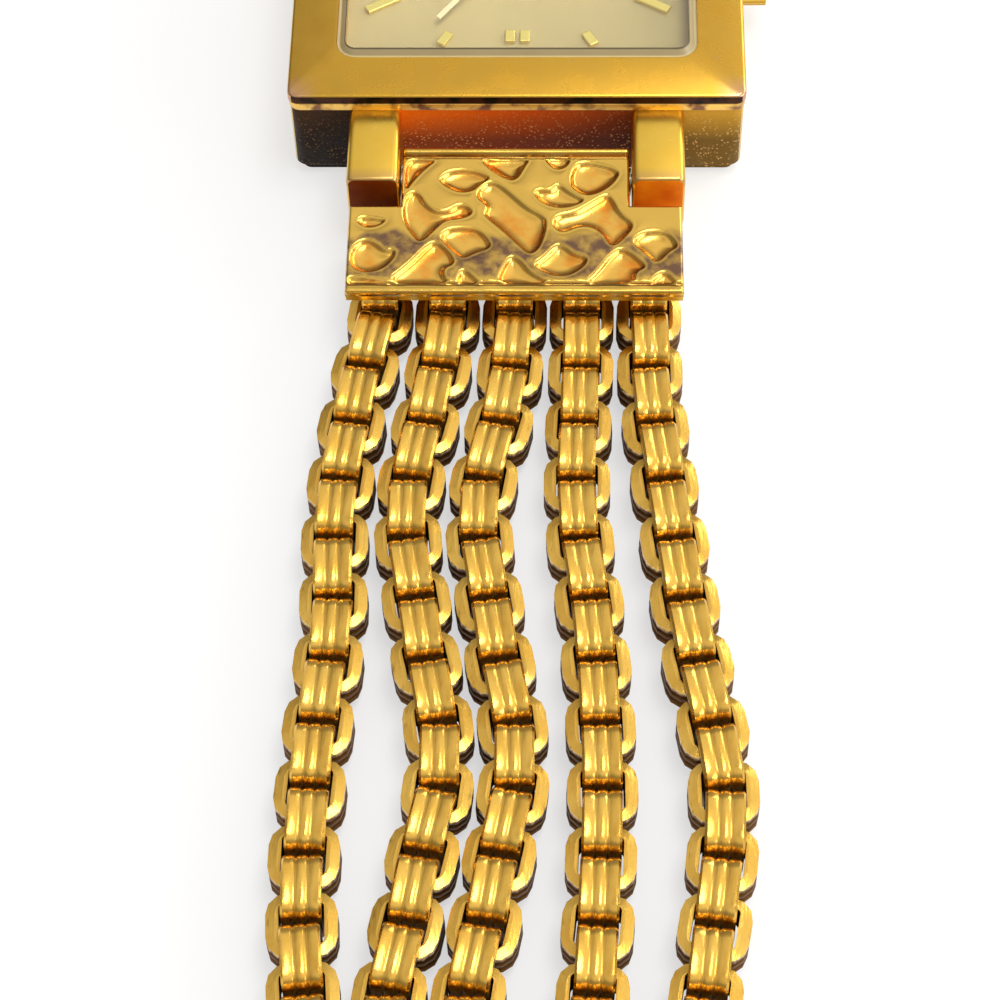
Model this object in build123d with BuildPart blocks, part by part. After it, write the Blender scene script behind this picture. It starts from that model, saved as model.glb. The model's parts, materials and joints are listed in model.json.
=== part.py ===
from build123d import *
import math
import os

# A two-hand quartz bracelet watch, laid out flat and open. Millimetres.
# Origin: where the axis of the hands meets the outside of the case back.
# +X points to 3 o'clock and the crown, +Y to 12 o'clock, +Z up through the dial.
# The 12 o'clock half of the bracelet is the 6 o'clock half turned half a turn about Z.

os.makedirs("parts", exist_ok=True)

# Running and seating clearances
seat_gap = 0.05
pin_gap = 0.02
shaft_gap = 0.05

# Case, measured over the bezel
case_width = 23.8
case_length = 22.1
case_corner = 0.5
case_wall = 2.1
back_thickness = 0.6
case_height = 5.7
wall_inset = 0.2
band_inset = 0.1
band_height = 0.5
cavity_corner = 1.2
edge_break = 0.15

# Lugs and spring bars
lug_gap = 12.0
lug_width = 2.7
lug_reach = 4.6
lug_thickness = 3.9
lug_chamfer = 0.2
bar_from_lug_end = 1.75
bar_above_lug_bottom = 1.6
bar_radius = 0.72
bar_tip_radius = 0.4
bar_tip_length = 0.7

# Bezel, crystal and dial
bezel_side = 0.6
bezel_rise = 0.45
bezel_land = 0.12
opening_width = 18.8
opening_length = 17.4
opening_corner = 1.0
crystal_ledge = 0.4
crystal_seat_height = 0.4
crystal_thickness = 0.85
crystal_bevel = 0.35
crystal_gasket_wall = 0.1
crystal_gasket_height = 0.5
skirt_depth = 0.4
dial_thickness = 0.4
dial_hole_radius = 0.85
marker_height = 0.24
baton_width = 0.52
long_baton = 2.0
short_baton = 0.95
pair_spacing = 0.78
pair_baton = 0.8
baton_radius_at_4 = 8.25
baton_radius_at_5 = 7.65
baton_radius_at_6 = 6.47
baton_radius_at_3 = 7.9

# Case back and movement holder
back_inset = 0.2
back_lip_height = 1.0
back_lip_wall = 0.6
back_gasket_wall = 0.45
back_gasket_height = 0.35
holder_wall = 1.5
ledge_width = 0.4

# Movement heights, counted down from the dial
motion_space = 0.75
plate_thickness = 0.4
train_space = 1.7
bridge_thickness = 0.3
screw_radius = 0.3
screw_head_radius = 0.55
screw_head_height = 0.2
pillar_radius = 0.6
pillar_places = [(-6.9, -1.8), (6.9, 2.6), (6.9, -1.8), (1.5, 6.2)]

# Wheels: teeth and modules
wheel_thickness = 0.15
leaf_height = 0.35
pivot_radius = 0.2
arbor_radius = 0.35
hour_pipe_wall = 0.28
train_module = 0.1
centre_teeth = 48
reduction_leaves = 8
reduction_teeth = 40
rotor_leaves = 8
cannon_leaves = 12
minute_teeth = 36
minute_leaves = 10
hour_teeth = 40
motion_module = 0.1
reduction_bearing = -60.0
rotor_bearing = -20.0
centre_wheel_rise = 0.65
reduction_wheel_rise = 1.15
magnet_radius = 0.6
magnet_height = 0.6

# Motor, battery and circuit
battery_radius = 3.4
battery_height = 1.65
battery_place = (-4.7, 3.8)
clip_width = 1.6
clip_thickness = 0.15
clip_past_battery = 1.0
clip_offset = 0.5
coil_length = 8.0
coil_radius = 0.75
core_length = 12.6
core_width = 0.9
sheet_thickness = 0.3
coil_place_y = -6.3
stator_hole_gap = 0.25
stator_rim = 0.65
stator_rise = 0.4
stator_bar_y = -4.2
board_length = 6.0
board_width = 3.4
board_place = (4.6, 5.2)
can_radius = 0.5
can_length = 4.6

# Crown and stem
crown_radius = 1.36
crown_length = 1.45
crown_standoff = 0.25
crown_flutes = 24
flute_radius = 0.1
stem_drop = 0.56
stem_radius = 0.4
stem_inner_end = 3.9
tube_radius = 0.8
tube_proud = 0.55
lever_thickness = 0.4
lever_place_x = 6.25
groove_width = 0.5
groove_radius = 0.25
lever_below_stem = 0.6
lever_above_stem = 1.8
lever_height = 0.9
recess_gap = 0.15
recess_spare = 0.12
stem_in_crown = 0.5

# Hands
minute_hand_length = 6.95
minute_hand_width = 0.3
hour_hand_length = 4.6
hour_hand_width = 0.42
hand_thickness = 0.12
hand_gap = 0.18
hand_tail = 1.1
hand_hub_wall = 0.25
minute_bearing = 217.3
hour_bearing = 318.1

# Box chain: every link is the same ring, standing and lying in turn
link_width = 3.25
link_length = 3.0
link_corner = 0.85
link_bar = 0.5
link_band = 1.7
half_pitch = 1.695
links_in_strand = 33
links_in_row = 4
rows_in_side = 8
first_link_y = -20.45

# Where the five strands run on the 6 o'clock side: distance past the first link, X
strand_routes = [
    [(0, -6.8), (1.7, -6.84), (3.4, -7.12), (6.8, -7.78), (13.6, -8.5), (20.3, -8.44),
     (27.1, -8.97), (33.9, -9.13), (40.7, -8.67), (47.5, -7.6), (52.5, -6.84), (54.3, -6.8)],
    [(0, -3.36), (1.7, -3.41), (3.4, -3.55), (6.8, -4.07), (13.6, -5.05), (20.3, -4.2),
     (27.1, -3.12), (33.9, -4.1), (40.7, -5.18), (47.5, -4.1), (52.5, -3.4), (54.3, -3.38)],
    [(0, 0.0), (1.7, 0.0), (3.4, -0.05), (6.8, -0.4), (13.6, -1.55), (20.3, -0.72),
     (27.1, 0.33), (33.9, -0.6), (40.7, -1.7), (47.5, -0.7), (52.5, 0.0), (54.3, 0.0)],
    [(0, 3.4), (1.7, 3.4), (3.4, 3.4), (6.8, 3.31), (13.6, 3.22), (20.3, 3.95),
     (27.1, 4.35), (33.9, 4.23), (40.7, 3.78), (47.5, 3.4), (52.5, 3.4), (54.3, 3.4)],
    [(0, 6.8), (1.7, 6.8), (3.4, 6.8), (6.8, 6.9), (13.6, 7.67), (20.3, 8.57),
     (27.1, 9.76), (30.0, 9.93), (33.9, 9.55), (40.7, 8.6), (47.5, 7.4), (52.5, 6.82), (54.3, 6.8)],
]

# Strand heads: the end piece at the lugs and the end bar at the clasp
head_width = 17.0
head_top = 3.95
head_plate = 0.45
head_cheek = 0.7
head_back_wall = 1.2
pin_past_link = 0.6
pin_to_rim = 2.25
pin_to_back_wall = 1.45
cheek_nose_radius = 0.53
strand_pin_radius = 0.33
end_piece_bottom = 0.9
tongue_side_gap = 0.15
tongue_behind_bar = 1.15
tongue_bottom = 1.9
shoulder_y = -16.6

# Fold-over clasp on the 6 o'clock side, catch bar on the 12 o'clock side
clasp_hinge_reach = 1.25
clasp_hinge_height = 1.95
clasp_knuckle_radius = 1.0
clasp_tongue_width = 4.2
clasp_ear_width = 1.5
clasp_ear_gap = 0.1
clasp_pin_radius = 0.45
frame_width = 11.0
frame_length = 11.0
frame_wall = 0.85
frame_floor = 0.6
frame_height = 2.95
tongue_root = 0.8
tongue_foot = 1.2
cover_thickness = 0.6
cover_gap = 0.05
cover_pin_height = 2.2
cover_pin_inset = 1.0
cover_knuckle_radius = 0.75
cover_lip = 1.4
cover_lip_inset = 2.2
cover_lip_thickness = 0.6
cover_lip_side = 1.0
cover_past_pin = 0.3
catch_reach = 2.9
catch_bar_radius = 0.55
catch_arm_width = 1.4
catch_span = 7.6

# Heights and outlines that follow
case_bottom = back_thickness
dial_top = case_height - skirt_depth
dial_bottom = dial_top - dial_thickness
plate_top = dial_bottom - motion_space
plate_bottom = plate_top - plate_thickness
bridge_top = plate_bottom - train_space
bridge_bottom = bridge_top - bridge_thickness
stem_z = plate_bottom - stem_drop
bezel_top = case_height + bezel_side
crystal_seat = case_height + crystal_seat_height
cavity_width = case_width - 2 * case_wall
cavity_length = case_length - 2 * case_wall
wall_x = case_width / 2 - wall_inset
wall_y = case_length / 2 - wall_inset
lug_top = case_height - band_height
lug_bottom = lug_top - lug_thickness
lug_end = case_length / 2 + lug_reach
bar_y = -(lug_end - bar_from_lug_end)
bar_z = lug_bottom + bar_above_lug_bottom
holder_width = cavity_width - 4 * seat_gap
holder_length = cavity_length - 4 * seat_gap
holder_bottom = case_bottom + back_lip_height
well_width = holder_width - 2 * holder_wall
well_length = holder_length - 2 * holder_wall
plate_width = well_width + 2 * ledge_width - 2 * seat_gap
plate_length = well_length + 2 * ledge_width - 2 * seat_gap
link_z = link_width / 2
strand_pin_y = first_link_y + pin_past_link
last_link_y = first_link_y - (links_in_strand - 1) * half_pitch
end_pin_y = last_link_y - pin_past_link
end_bar_back = end_pin_y - pin_to_back_wall - head_back_wall
clasp_hinge_y = end_bar_back - clasp_hinge_reach


def save(piece, name):
    # Writes one finished piece to its own file
    piece.label = name
    export_step(piece, f"parts/{name}.step")


def save_both_sides(piece, name):
    # The piece as it stands for 6 o'clock, and turned half a turn about Z for 12 o'clock
    for side, turn in (("6", 0), ("12", 180)):
        with BuildPart() as turned:
            add(piece, rotation=(0, 0, turn))
        save(turned.part, f"{name}_{side}")


# Case middle: a rectangular ring with four lugs
with BuildPart() as case_middle:
    with BuildSketch(Plane.XY.offset(case_bottom)):
        RectangleRounded(2 * wall_x, 2 * wall_y, case_corner)
    extrude(amount=lug_top - case_bottom)
    with BuildSketch(Plane.XY.offset(lug_top)):
        RectangleRounded(case_width - 2 * band_inset, case_length - 2 * band_inset, case_corner)
    extrude(amount=band_height)
    lug_root = case_length / 2 - case_wall / 2
    with BuildSketch(Plane.XY.offset(lug_bottom)):
        with GridLocations(lug_gap + lug_width, lug_end + lug_root, 2, 2):
            Rectangle(lug_width, lug_end - lug_root)
    extrude(amount=lug_thickness)
    lug_tips = case_middle.edges().filter_by(lambda e: abs(e.center().Y) > lug_end - 0.001)
    chamfer(lug_tips, length=lug_chamfer)
    with BuildSketch(Plane.XY.offset(case_bottom)):
        RectangleRounded(cavity_width, cavity_length, cavity_corner)
    extrude(amount=case_height - case_bottom, mode=Mode.SUBTRACT)
    with BuildSketch(Plane.XY.offset(case_bottom)):
        RectangleRounded(
            cavity_width + 2 * back_gasket_wall, cavity_length + 2 * back_gasket_wall, cavity_corner
        )
    extrude(amount=back_gasket_height, mode=Mode.SUBTRACT)
    with BuildSketch(Plane.YZ):
        with Locations((bar_y, bar_z), (-bar_y, bar_z)):
            Circle(bar_tip_radius + shaft_gap)
    extrude(amount=lug_gap / 2 + bar_tip_length + shaft_gap, both=True, mode=Mode.SUBTRACT)
    with BuildSketch(Plane.YZ.offset(cavity_width / 2 - seat_gap)):
        with Locations((0, stem_z)):
            Circle(tube_radius)
    extrude(amount=case_wall, mode=Mode.SUBTRACT)
save(case_middle.part, "case_middle")

# Bezel: an upright band, four sloped facets and a skirt that holds the dial down
with BuildPart() as bezel:
    with BuildSketch(Plane.XY.offset(case_height)):
        RectangleRounded(case_width, case_length, case_corner)
    extrude(amount=bezel_side)
    with BuildSketch(Plane.XY.offset(bezel_top)):
        RectangleRounded(case_width, case_length, case_corner)
    with BuildSketch(Plane.XY.offset(bezel_top + bezel_rise)):
        RectangleRounded(
            opening_width + 2 * bezel_land, opening_length + 2 * bezel_land, opening_corner + bezel_land
        )
    loft(ruled=True)
    with BuildSketch(Plane.XY.offset(dial_top)):
        RectangleRounded(
            cavity_width - 2 * seat_gap, cavity_length - 2 * seat_gap, cavity_corner - seat_gap
        )
    extrude(amount=skirt_depth)
    with BuildSketch(Plane.XY.offset(dial_top)):
        RectangleRounded(
            opening_width - 2 * crystal_ledge,
            opening_length - 2 * crystal_ledge,
            opening_corner - crystal_ledge,
        )
    extrude(amount=skirt_depth + bezel_side + bezel_rise, mode=Mode.SUBTRACT)
    with BuildSketch(Plane.XY.offset(crystal_seat)):
        RectangleRounded(opening_width, opening_length, opening_corner)
    extrude(amount=bezel_side + bezel_rise, mode=Mode.SUBTRACT)
save(bezel.part, "bezel")

# Crystal: flat mineral glass with a bevelled edge, and the gasket round it
glass_width = opening_width - 2 * crystal_gasket_wall
glass_length = opening_length - 2 * crystal_gasket_wall
glass_corner = opening_corner - crystal_gasket_wall
with BuildPart() as crystal:
    with BuildSketch(Plane.XY.offset(crystal_seat)):
        RectangleRounded(glass_width, glass_length, glass_corner)
    extrude(amount=crystal_thickness)
    chamfer(crystal.faces().sort_by(Axis.Z)[-1].edges(), length=crystal_bevel)
save(crystal.part, "crystal")

with BuildPart() as crystal_gasket:
    with BuildSketch(Plane.XY.offset(crystal_seat)):
        RectangleRounded(opening_width, opening_length, opening_corner)
        RectangleRounded(glass_width, glass_length, glass_corner, mode=Mode.SUBTRACT)
    extrude(amount=crystal_gasket_height)
save(crystal_gasket.part, "crystal_gasket")

# Dial: a plain plate clamped between the holder and the bezel's skirt
with BuildPart() as dial:
    with BuildSketch(Plane.XY.offset(dial_bottom)):
        RectangleRounded(holder_width, holder_length, cavity_corner - 2 * seat_gap)
        Circle(dial_hole_radius, mode=Mode.SUBTRACT)
    extrude(amount=dial_thickness)
save(dial.part, "dial")


def clock_place(hour, radius):
    # Where a marker stands on the dial, and which way its long side points
    bearing = math.radians(30 * hour)
    return Location((radius * math.sin(bearing), radius * math.cos(bearing)), 90 - 30 * hour)


# Hour markers: radial bars, long on the sides, short at the top and bottom, in pairs at 12 and 6
long_places = [clock_place(hour, baton_radius_at_4) for hour in (2, 4, 8, 10)]
long_places += [clock_place(hour, baton_radius_at_3) for hour in (3, 9)]
short_places = [clock_place(hour, baton_radius_at_5) for hour in (1, 5, 7, 11)]
with BuildPart() as hour_markers:
    with BuildSketch(Plane.XY.offset(dial_top)):
        with Locations(*long_places):
            Rectangle(long_baton, baton_width)
        with Locations(*short_places):
            Rectangle(short_baton, baton_width)
        with GridLocations(pair_spacing, 2 * baton_radius_at_6, 2, 2):
            Rectangle(baton_width, pair_baton)
    extrude(amount=marker_height)
save(hour_markers.part, "hour_markers")

# Case back with its snap lip, and the gasket in the case's corner
with BuildPart() as case_back:
    with BuildSketch():
        RectangleRounded(2 * (wall_x - back_inset), 2 * (wall_y - back_inset), case_corner)
    extrude(amount=back_thickness)
    chamfer(case_back.faces().sort_by(Axis.Z)[0].edges(), length=edge_break)
    with BuildSketch(Plane.XY.offset(back_thickness)):
        RectangleRounded(
            cavity_width - 2 * seat_gap, cavity_length - 2 * seat_gap, cavity_corner - seat_gap
        )
        RectangleRounded(
            cavity_width - 2 * seat_gap - 2 * back_lip_wall,
            cavity_length - 2 * seat_gap - 2 * back_lip_wall,
            cavity_corner - seat_gap - back_lip_wall,
            mode=Mode.SUBTRACT,
        )
    extrude(amount=back_lip_height)
save(case_back.part, "case_back")

with BuildPart() as case_back_gasket:
    with BuildSketch(Plane.XY.offset(case_bottom)):
        RectangleRounded(
            cavity_width + 2 * back_gasket_wall - 2 * seat_gap,
            cavity_length + 2 * back_gasket_wall - 2 * seat_gap,
            cavity_corner,
        )
        RectangleRounded(cavity_width, cavity_length, cavity_corner, mode=Mode.SUBTRACT)
    extrude(amount=back_gasket_height - seat_gap)
save(case_back_gasket.part, "case_back_gasket")

# Movement holder: a frame with a ledge that carries the main plate
with BuildPart() as movement_holder:
    with BuildSketch(Plane.XY.offset(holder_bottom)):
        RectangleRounded(holder_width, holder_length, cavity_corner - 2 * seat_gap)
        Rectangle(well_width, well_length, mode=Mode.SUBTRACT)
    extrude(amount=dial_bottom - holder_bottom)
    with BuildSketch(Plane.XY.offset(plate_bottom)):
        Rectangle(well_width + 2 * ledge_width, well_length + 2 * ledge_width)
    extrude(amount=dial_bottom - plate_bottom, mode=Mode.SUBTRACT)
    with BuildSketch(Plane.YZ.offset(well_width / 2 - seat_gap)):
        with Locations((0, stem_z)):
            Circle(stem_radius + 2 * shaft_gap)
    extrude(amount=2 * holder_wall, mode=Mode.SUBTRACT)
save(movement_holder.part, "movement_holder")

# Where the train stands in plan
reduction_distance = train_module * (centre_teeth + reduction_leaves) / 2
rotor_distance = train_module * (reduction_teeth + rotor_leaves) / 2
minute_distance = motion_module * (hour_teeth + minute_leaves) / 2
cannon_module = 2 * minute_distance / (cannon_leaves + minute_teeth)
reduction_place = (
    reduction_distance * math.cos(math.radians(reduction_bearing)),
    reduction_distance * math.sin(math.radians(reduction_bearing)),
)
rotor_place = (
    reduction_place[0] + rotor_distance * math.cos(math.radians(rotor_bearing)),
    reduction_place[1] + rotor_distance * math.sin(math.radians(rotor_bearing)),
)
minute_place = (minute_distance, 0)


def tooth_ring(teeth, module, phase):
    # Outline of a toothed wheel: phase is the bearing of one tooth in degrees
    pitch = 360 / teeth
    root = module * (teeth / 2 - 1.2)
    tip = module * (teeth / 2 + 0.75)
    outline = []
    for tooth in range(teeth):
        middle = phase + tooth * pitch
        for share, radius in ((-0.26, root), (-0.12, tip), (0.12, tip), (0.26, root)):
            angle = math.radians(middle + share * pitch)
            outline.append((radius * math.cos(angle), radius * math.sin(angle)))
    return outline


def meshing_phase(teeth, other_teeth, other_phase, bearing):
    # Phase that puts a gap of this wheel on a tooth of the other, seen along bearing from the other
    return bearing + 180 + (other_teeth * (bearing - other_phase) - 180) / teeth


centre_wheel_z = bridge_top + centre_wheel_rise
reduction_wheel_z = bridge_top + reduction_wheel_rise
minute_wheel_z = plate_top + seat_gap
hour_wheel_z = minute_wheel_z + leaf_height + seat_gap
hour_hand_z = dial_top + hand_gap
hour_pipe_top = hour_hand_z + hand_thickness
minute_hand_z = hour_pipe_top + hand_gap
hour_pipe_bore = arbor_radius + shaft_gap
hour_pipe_radius = hour_pipe_bore + hour_pipe_wall
reduction_phase = meshing_phase(reduction_leaves, centre_teeth, 0, reduction_bearing)
rotor_phase = meshing_phase(rotor_leaves, reduction_teeth, 0, rotor_bearing)
minute_phase = meshing_phase(minute_teeth, cannon_leaves, 0, 0)
hour_phase = meshing_phase(hour_teeth, minute_leaves, 0, 180)

# Main plate with its pillars
with BuildPart() as main_plate:
    with BuildSketch(Plane.XY.offset(plate_bottom)):
        Rectangle(plate_width, plate_length)
        Circle(arbor_radius + shaft_gap, mode=Mode.SUBTRACT)
        with Locations(reduction_place, rotor_place, minute_place):
            Circle(pivot_radius + shaft_gap, mode=Mode.SUBTRACT)
    extrude(amount=plate_thickness)
    with BuildSketch(Plane.XY.offset(bridge_top)):
        with Locations(*pillar_places):
            Circle(pillar_radius)
    extrude(amount=train_space)
    with BuildSketch(Plane.XY.offset(bridge_top)):
        with Locations(*pillar_places):
            Circle(screw_radius + pin_gap)
    extrude(amount=train_space / 2, mode=Mode.SUBTRACT)
save(main_plate.part, "main_plate")

# Train bridge: carries the lower pivots, with an opening for the battery and two stator posts
stator_z = bridge_top + stator_rise
post_x = (core_length - core_width) / 2
post_places = [(-post_x, stator_bar_y), (post_x, stator_bar_y)]
with BuildPart() as train_bridge:
    with BuildSketch(Plane.XY.offset(bridge_bottom)):
        Rectangle(well_width - 4 * seat_gap, well_length - 4 * seat_gap)
        with Locations(battery_place):
            Circle(battery_radius + 2 * seat_gap, mode=Mode.SUBTRACT)
        with Locations((battery_place[0] - battery_radius, battery_place[1] + battery_radius)):
            Rectangle(2 * battery_radius, 2 * battery_radius, mode=Mode.SUBTRACT)
        with Locations((0, 0), reduction_place, rotor_place):
            Circle(pivot_radius + shaft_gap, mode=Mode.SUBTRACT)
        with Locations(*pillar_places):
            Circle(screw_radius + pin_gap, mode=Mode.SUBTRACT)
    extrude(amount=bridge_thickness)
    with BuildSketch(Plane.XY.offset(bridge_top)):
        with Locations(*post_places):
            Circle(core_width / 2)
    extrude(amount=stator_z - bridge_top)
save(train_bridge.part, "train_bridge")

with BuildPart() as bridge_screws:
    with BuildSketch(Plane.XY.offset(bridge_bottom - screw_head_height)):
        with Locations(*pillar_places):
            Circle(screw_head_radius)
    extrude(amount=screw_head_height)
    with BuildSketch(Plane.XY.offset(bridge_bottom)):
        with Locations(*pillar_places):
            Circle(screw_radius)
    extrude(amount=bridge_thickness + train_space / 2 - seat_gap)
save(bridge_screws.part, "bridge_screws")

# Battery against the main plate, held by a sprung clip under the bridge
battery_bottom = plate_bottom - battery_height
with BuildPart() as battery:
    with BuildSketch(Plane.XY.offset(battery_bottom)):
        with Locations(battery_place):
            Circle(battery_radius)
    extrude(amount=battery_height)
    chamfer(battery.faces().sort_by(Axis.Z)[0].edges(), length=edge_break)
save(battery.part, "battery")

clip_length = 2 * battery_radius + clip_past_battery
with BuildPart() as battery_clip:
    with BuildSketch(Plane.XY.offset(bridge_bottom - clip_thickness)):
        with Locations((battery_place[0], battery_place[1] - clip_offset)):
            Rectangle(clip_width, clip_length)
    extrude(amount=clip_thickness)
    with BuildSketch(Plane.XY.offset(bridge_bottom)):
        with Locations(battery_place):
            Circle(clip_width / 2)
    extrude(amount=battery_bottom - bridge_bottom)
save(battery_clip.part, "battery_clip")

# Motor: coil on its core, and the stator sheet with the hole for the rotor
core_z = stator_z + sheet_thickness
coil_z = core_z + sheet_thickness / 2
with BuildPart() as coil:
    with BuildSketch(Plane.YZ):
        with Locations((coil_place_y, coil_z)):
            Circle(coil_radius)
    extrude(amount=coil_length / 2, both=True)
    with BuildSketch(Plane.XY.offset(core_z)):
        with Locations((0, coil_place_y)):
            Rectangle(core_length, core_width)
    extrude(amount=sheet_thickness)
save(coil.part, "coil")

foot_bottom = coil_place_y - core_width / 2
with BuildPart() as stator:
    with BuildSketch(Plane.XY.offset(stator_z)):
        with Locations((0, stator_bar_y)):
            Rectangle(core_length, core_width)
        with GridLocations(core_length - core_width, 0, 2, 1):
            with Locations((0, (stator_bar_y + foot_bottom) / 2)):
                Rectangle(core_width, stator_bar_y - foot_bottom)
        with Locations(rotor_place):
            Circle(magnet_radius + stator_hole_gap + stator_rim)
            Circle(magnet_radius + stator_hole_gap, mode=Mode.SUBTRACT)
    extrude(amount=sheet_thickness)
save(stator.part, "stator")

with BuildPart() as circuit_board:
    with BuildSketch(Plane.XY.offset(plate_bottom - sheet_thickness)):
        with Locations(board_place):
            Rectangle(board_length, board_width)
        with Locations(*pillar_places):
            Circle(pillar_radius + 2 * seat_gap, mode=Mode.SUBTRACT)
    extrude(amount=sheet_thickness)
save(circuit_board.part, "circuit_board")

with BuildPart() as quartz_crystal:
    with BuildSketch(Plane.YZ.offset(board_place[0] - can_length / 2)):
        with Locations((board_place[1], plate_bottom - sheet_thickness - can_radius)):
            Circle(can_radius)
    extrude(amount=can_length)
save(quartz_crystal.part, "quartz_crystal")

# Rotor: magnet and pinion on one arbor
with BuildPart() as rotor:
    with BuildSketch(Plane.XY.offset(bridge_bottom)):
        with Locations(rotor_place):
            Circle(pivot_radius)
    extrude(amount=plate_top - bridge_bottom)
    with BuildSketch(Plane.XY.offset(stator_z + sheet_thickness / 2 - magnet_height / 2)):
        with Locations(rotor_place):
            Circle(magnet_radius)
    extrude(amount=magnet_height)
    with BuildSketch(Plane.XY.offset(reduction_wheel_z - (leaf_height - wheel_thickness) / 2)):
        with Locations(rotor_place):
            Polygon(*tooth_ring(rotor_leaves, train_module, rotor_phase), align=None)
    extrude(amount=leaf_height)
save(rotor.part, "rotor")

# Reduction wheel: driven by the rotor, drives the centre wheel
with BuildPart() as reduction_wheel:
    with BuildSketch(Plane.XY.offset(bridge_bottom)):
        with Locations(reduction_place):
            Circle(pivot_radius)
    extrude(amount=plate_top - bridge_bottom)
    with BuildSketch(Plane.XY.offset(reduction_wheel_z)):
        with Locations(reduction_place):
            Polygon(*tooth_ring(reduction_teeth, train_module, 0), align=None)
    extrude(amount=wheel_thickness)
    with BuildSketch(Plane.XY.offset(centre_wheel_z - (leaf_height - wheel_thickness) / 2)):
        with Locations(reduction_place):
            Polygon(*tooth_ring(reduction_leaves, train_module, reduction_phase), align=None)
    extrude(amount=leaf_height)
save(reduction_wheel.part, "reduction_wheel")

# Centre wheel: its arbor carries the cannon pinion and the minute hand
with BuildPart() as centre_wheel:
    with BuildSketch(Plane.XY.offset(bridge_bottom)):
        Circle(pivot_radius)
    extrude(amount=bridge_thickness)
    with BuildSketch(Plane.XY.offset(bridge_top + seat_gap)):
        Circle(arbor_radius)
    extrude(amount=minute_hand_z + hand_thickness - bridge_top - seat_gap)
    with BuildSketch(Plane.XY.offset(bridge_top)):
        Circle(pivot_radius)
    extrude(amount=seat_gap)
    with BuildSketch(Plane.XY.offset(centre_wheel_z)):
        Polygon(*tooth_ring(centre_teeth, train_module, 0), align=None)
    extrude(amount=wheel_thickness)
    with BuildSketch(Plane.XY.offset(minute_wheel_z)):
        Polygon(*tooth_ring(cannon_leaves, cannon_module, 0), align=None)
    extrude(amount=leaf_height)
save(centre_wheel.part, "centre_wheel")

# Minute wheel: turned by the cannon pinion, turns the hour wheel
with BuildPart() as minute_wheel:
    with BuildSketch(Plane.XY.offset(plate_bottom)):
        with Locations(minute_place):
            Circle(pivot_radius)
    extrude(amount=hour_wheel_z + wheel_thickness - plate_bottom)
    with BuildSketch(Plane.XY.offset(minute_wheel_z)):
        with Locations(minute_place):
            Polygon(*tooth_ring(minute_teeth, cannon_module, minute_phase), align=None)
    extrude(amount=wheel_thickness)
    with BuildSketch(Plane.XY.offset(minute_wheel_z + wheel_thickness)):
        with Locations(minute_place):
            Polygon(*tooth_ring(minute_leaves, motion_module, 0), align=None)
    extrude(amount=hour_wheel_z - minute_wheel_z)
save(minute_wheel.part, "minute_wheel")

# Hour wheel: a pipe round the centre arbor
with BuildPart() as hour_wheel:
    with BuildSketch(Plane.XY.offset(hour_wheel_z)):
        Polygon(*tooth_ring(hour_teeth, motion_module, hour_phase), align=None)
    extrude(amount=wheel_thickness)
    with BuildSketch(Plane.XY.offset(hour_wheel_z)):
        Circle(hour_pipe_radius)
    extrude(amount=hour_pipe_top - hour_wheel_z)
    with BuildSketch(Plane.XY.offset(hour_wheel_z)):
        Circle(hour_pipe_bore)
    extrude(amount=hour_pipe_top - hour_wheel_z, mode=Mode.SUBTRACT)
save(hour_wheel.part, "hour_wheel")


def hand(height, length, width, hub_radius, bore_radius, bearing):
    # A straight baton hand with a round hub and a short tail
    turned = Plane.XY.rotated((0, 0, 90 - bearing)).offset(height)
    with BuildPart() as one_hand:
        with BuildSketch(turned):
            with Locations(((length - hand_tail) / 2, 0)):
                Rectangle(length + hand_tail, width)
            Circle(hub_radius)
            Circle(bore_radius, mode=Mode.SUBTRACT)
        extrude(amount=hand_thickness)
    return one_hand.part


minute_hub = arbor_radius + hand_hub_wall
hour_hub = hour_pipe_radius + hand_hub_wall
save(
    hand(minute_hand_z, minute_hand_length, minute_hand_width, minute_hub,
         arbor_radius + pin_gap, minute_bearing),
    "minute_hand",
)
save(
    hand(hour_hand_z, hour_hand_length, hour_hand_width, hour_hub,
         hour_pipe_radius + pin_gap, hour_bearing),
    "hour_hand",
)

# Crown, its gasket and tube, the stem and the lever that follows it
crown_inner = wall_x + crown_standoff
crown_outer = crown_inner + crown_length
tube_inner = cavity_width / 2 + seat_gap
tube_outer = wall_x + tube_proud
recess_radius = tube_radius + recess_gap
recess_depth = tube_outer - crown_inner + recess_spare
with BuildPart() as crown_tube:
    with BuildSketch(Plane.YZ.offset(tube_inner)):
        with Locations((0, stem_z)):
            Circle(tube_radius - pin_gap)
            Circle(stem_radius + shaft_gap, mode=Mode.SUBTRACT)
    extrude(amount=tube_outer - tube_inner)
save(crown_tube.part, "crown_tube")

with BuildPart() as crown:
    with BuildSketch(Plane.YZ.offset(crown_inner)):
        with Locations((0, stem_z)):
            Circle(crown_radius)
            with PolarLocations(crown_radius, crown_flutes):
                Circle(flute_radius, mode=Mode.SUBTRACT)
    extrude(amount=crown_length)
    with BuildSketch(Plane.YZ.offset(crown_inner)):
        with Locations((0, stem_z)):
            Circle(recess_radius)
    extrude(amount=recess_depth, mode=Mode.SUBTRACT)
    with BuildSketch(Plane.YZ.offset(crown_inner + recess_depth)):
        with Locations((0, stem_z)):
            Circle(stem_radius + pin_gap)
    extrude(amount=stem_in_crown, mode=Mode.SUBTRACT)
save(crown.part, "crown")

with BuildPart() as crown_gasket:
    with BuildSketch(Plane.YZ.offset(crown_inner + pin_gap)):
        with Locations((0, stem_z)):
            Circle(recess_radius - pin_gap)
            Circle(tube_radius + pin_gap, mode=Mode.SUBTRACT)
    extrude(amount=recess_depth / 2)
save(crown_gasket.part, "crown_gasket")

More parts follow.
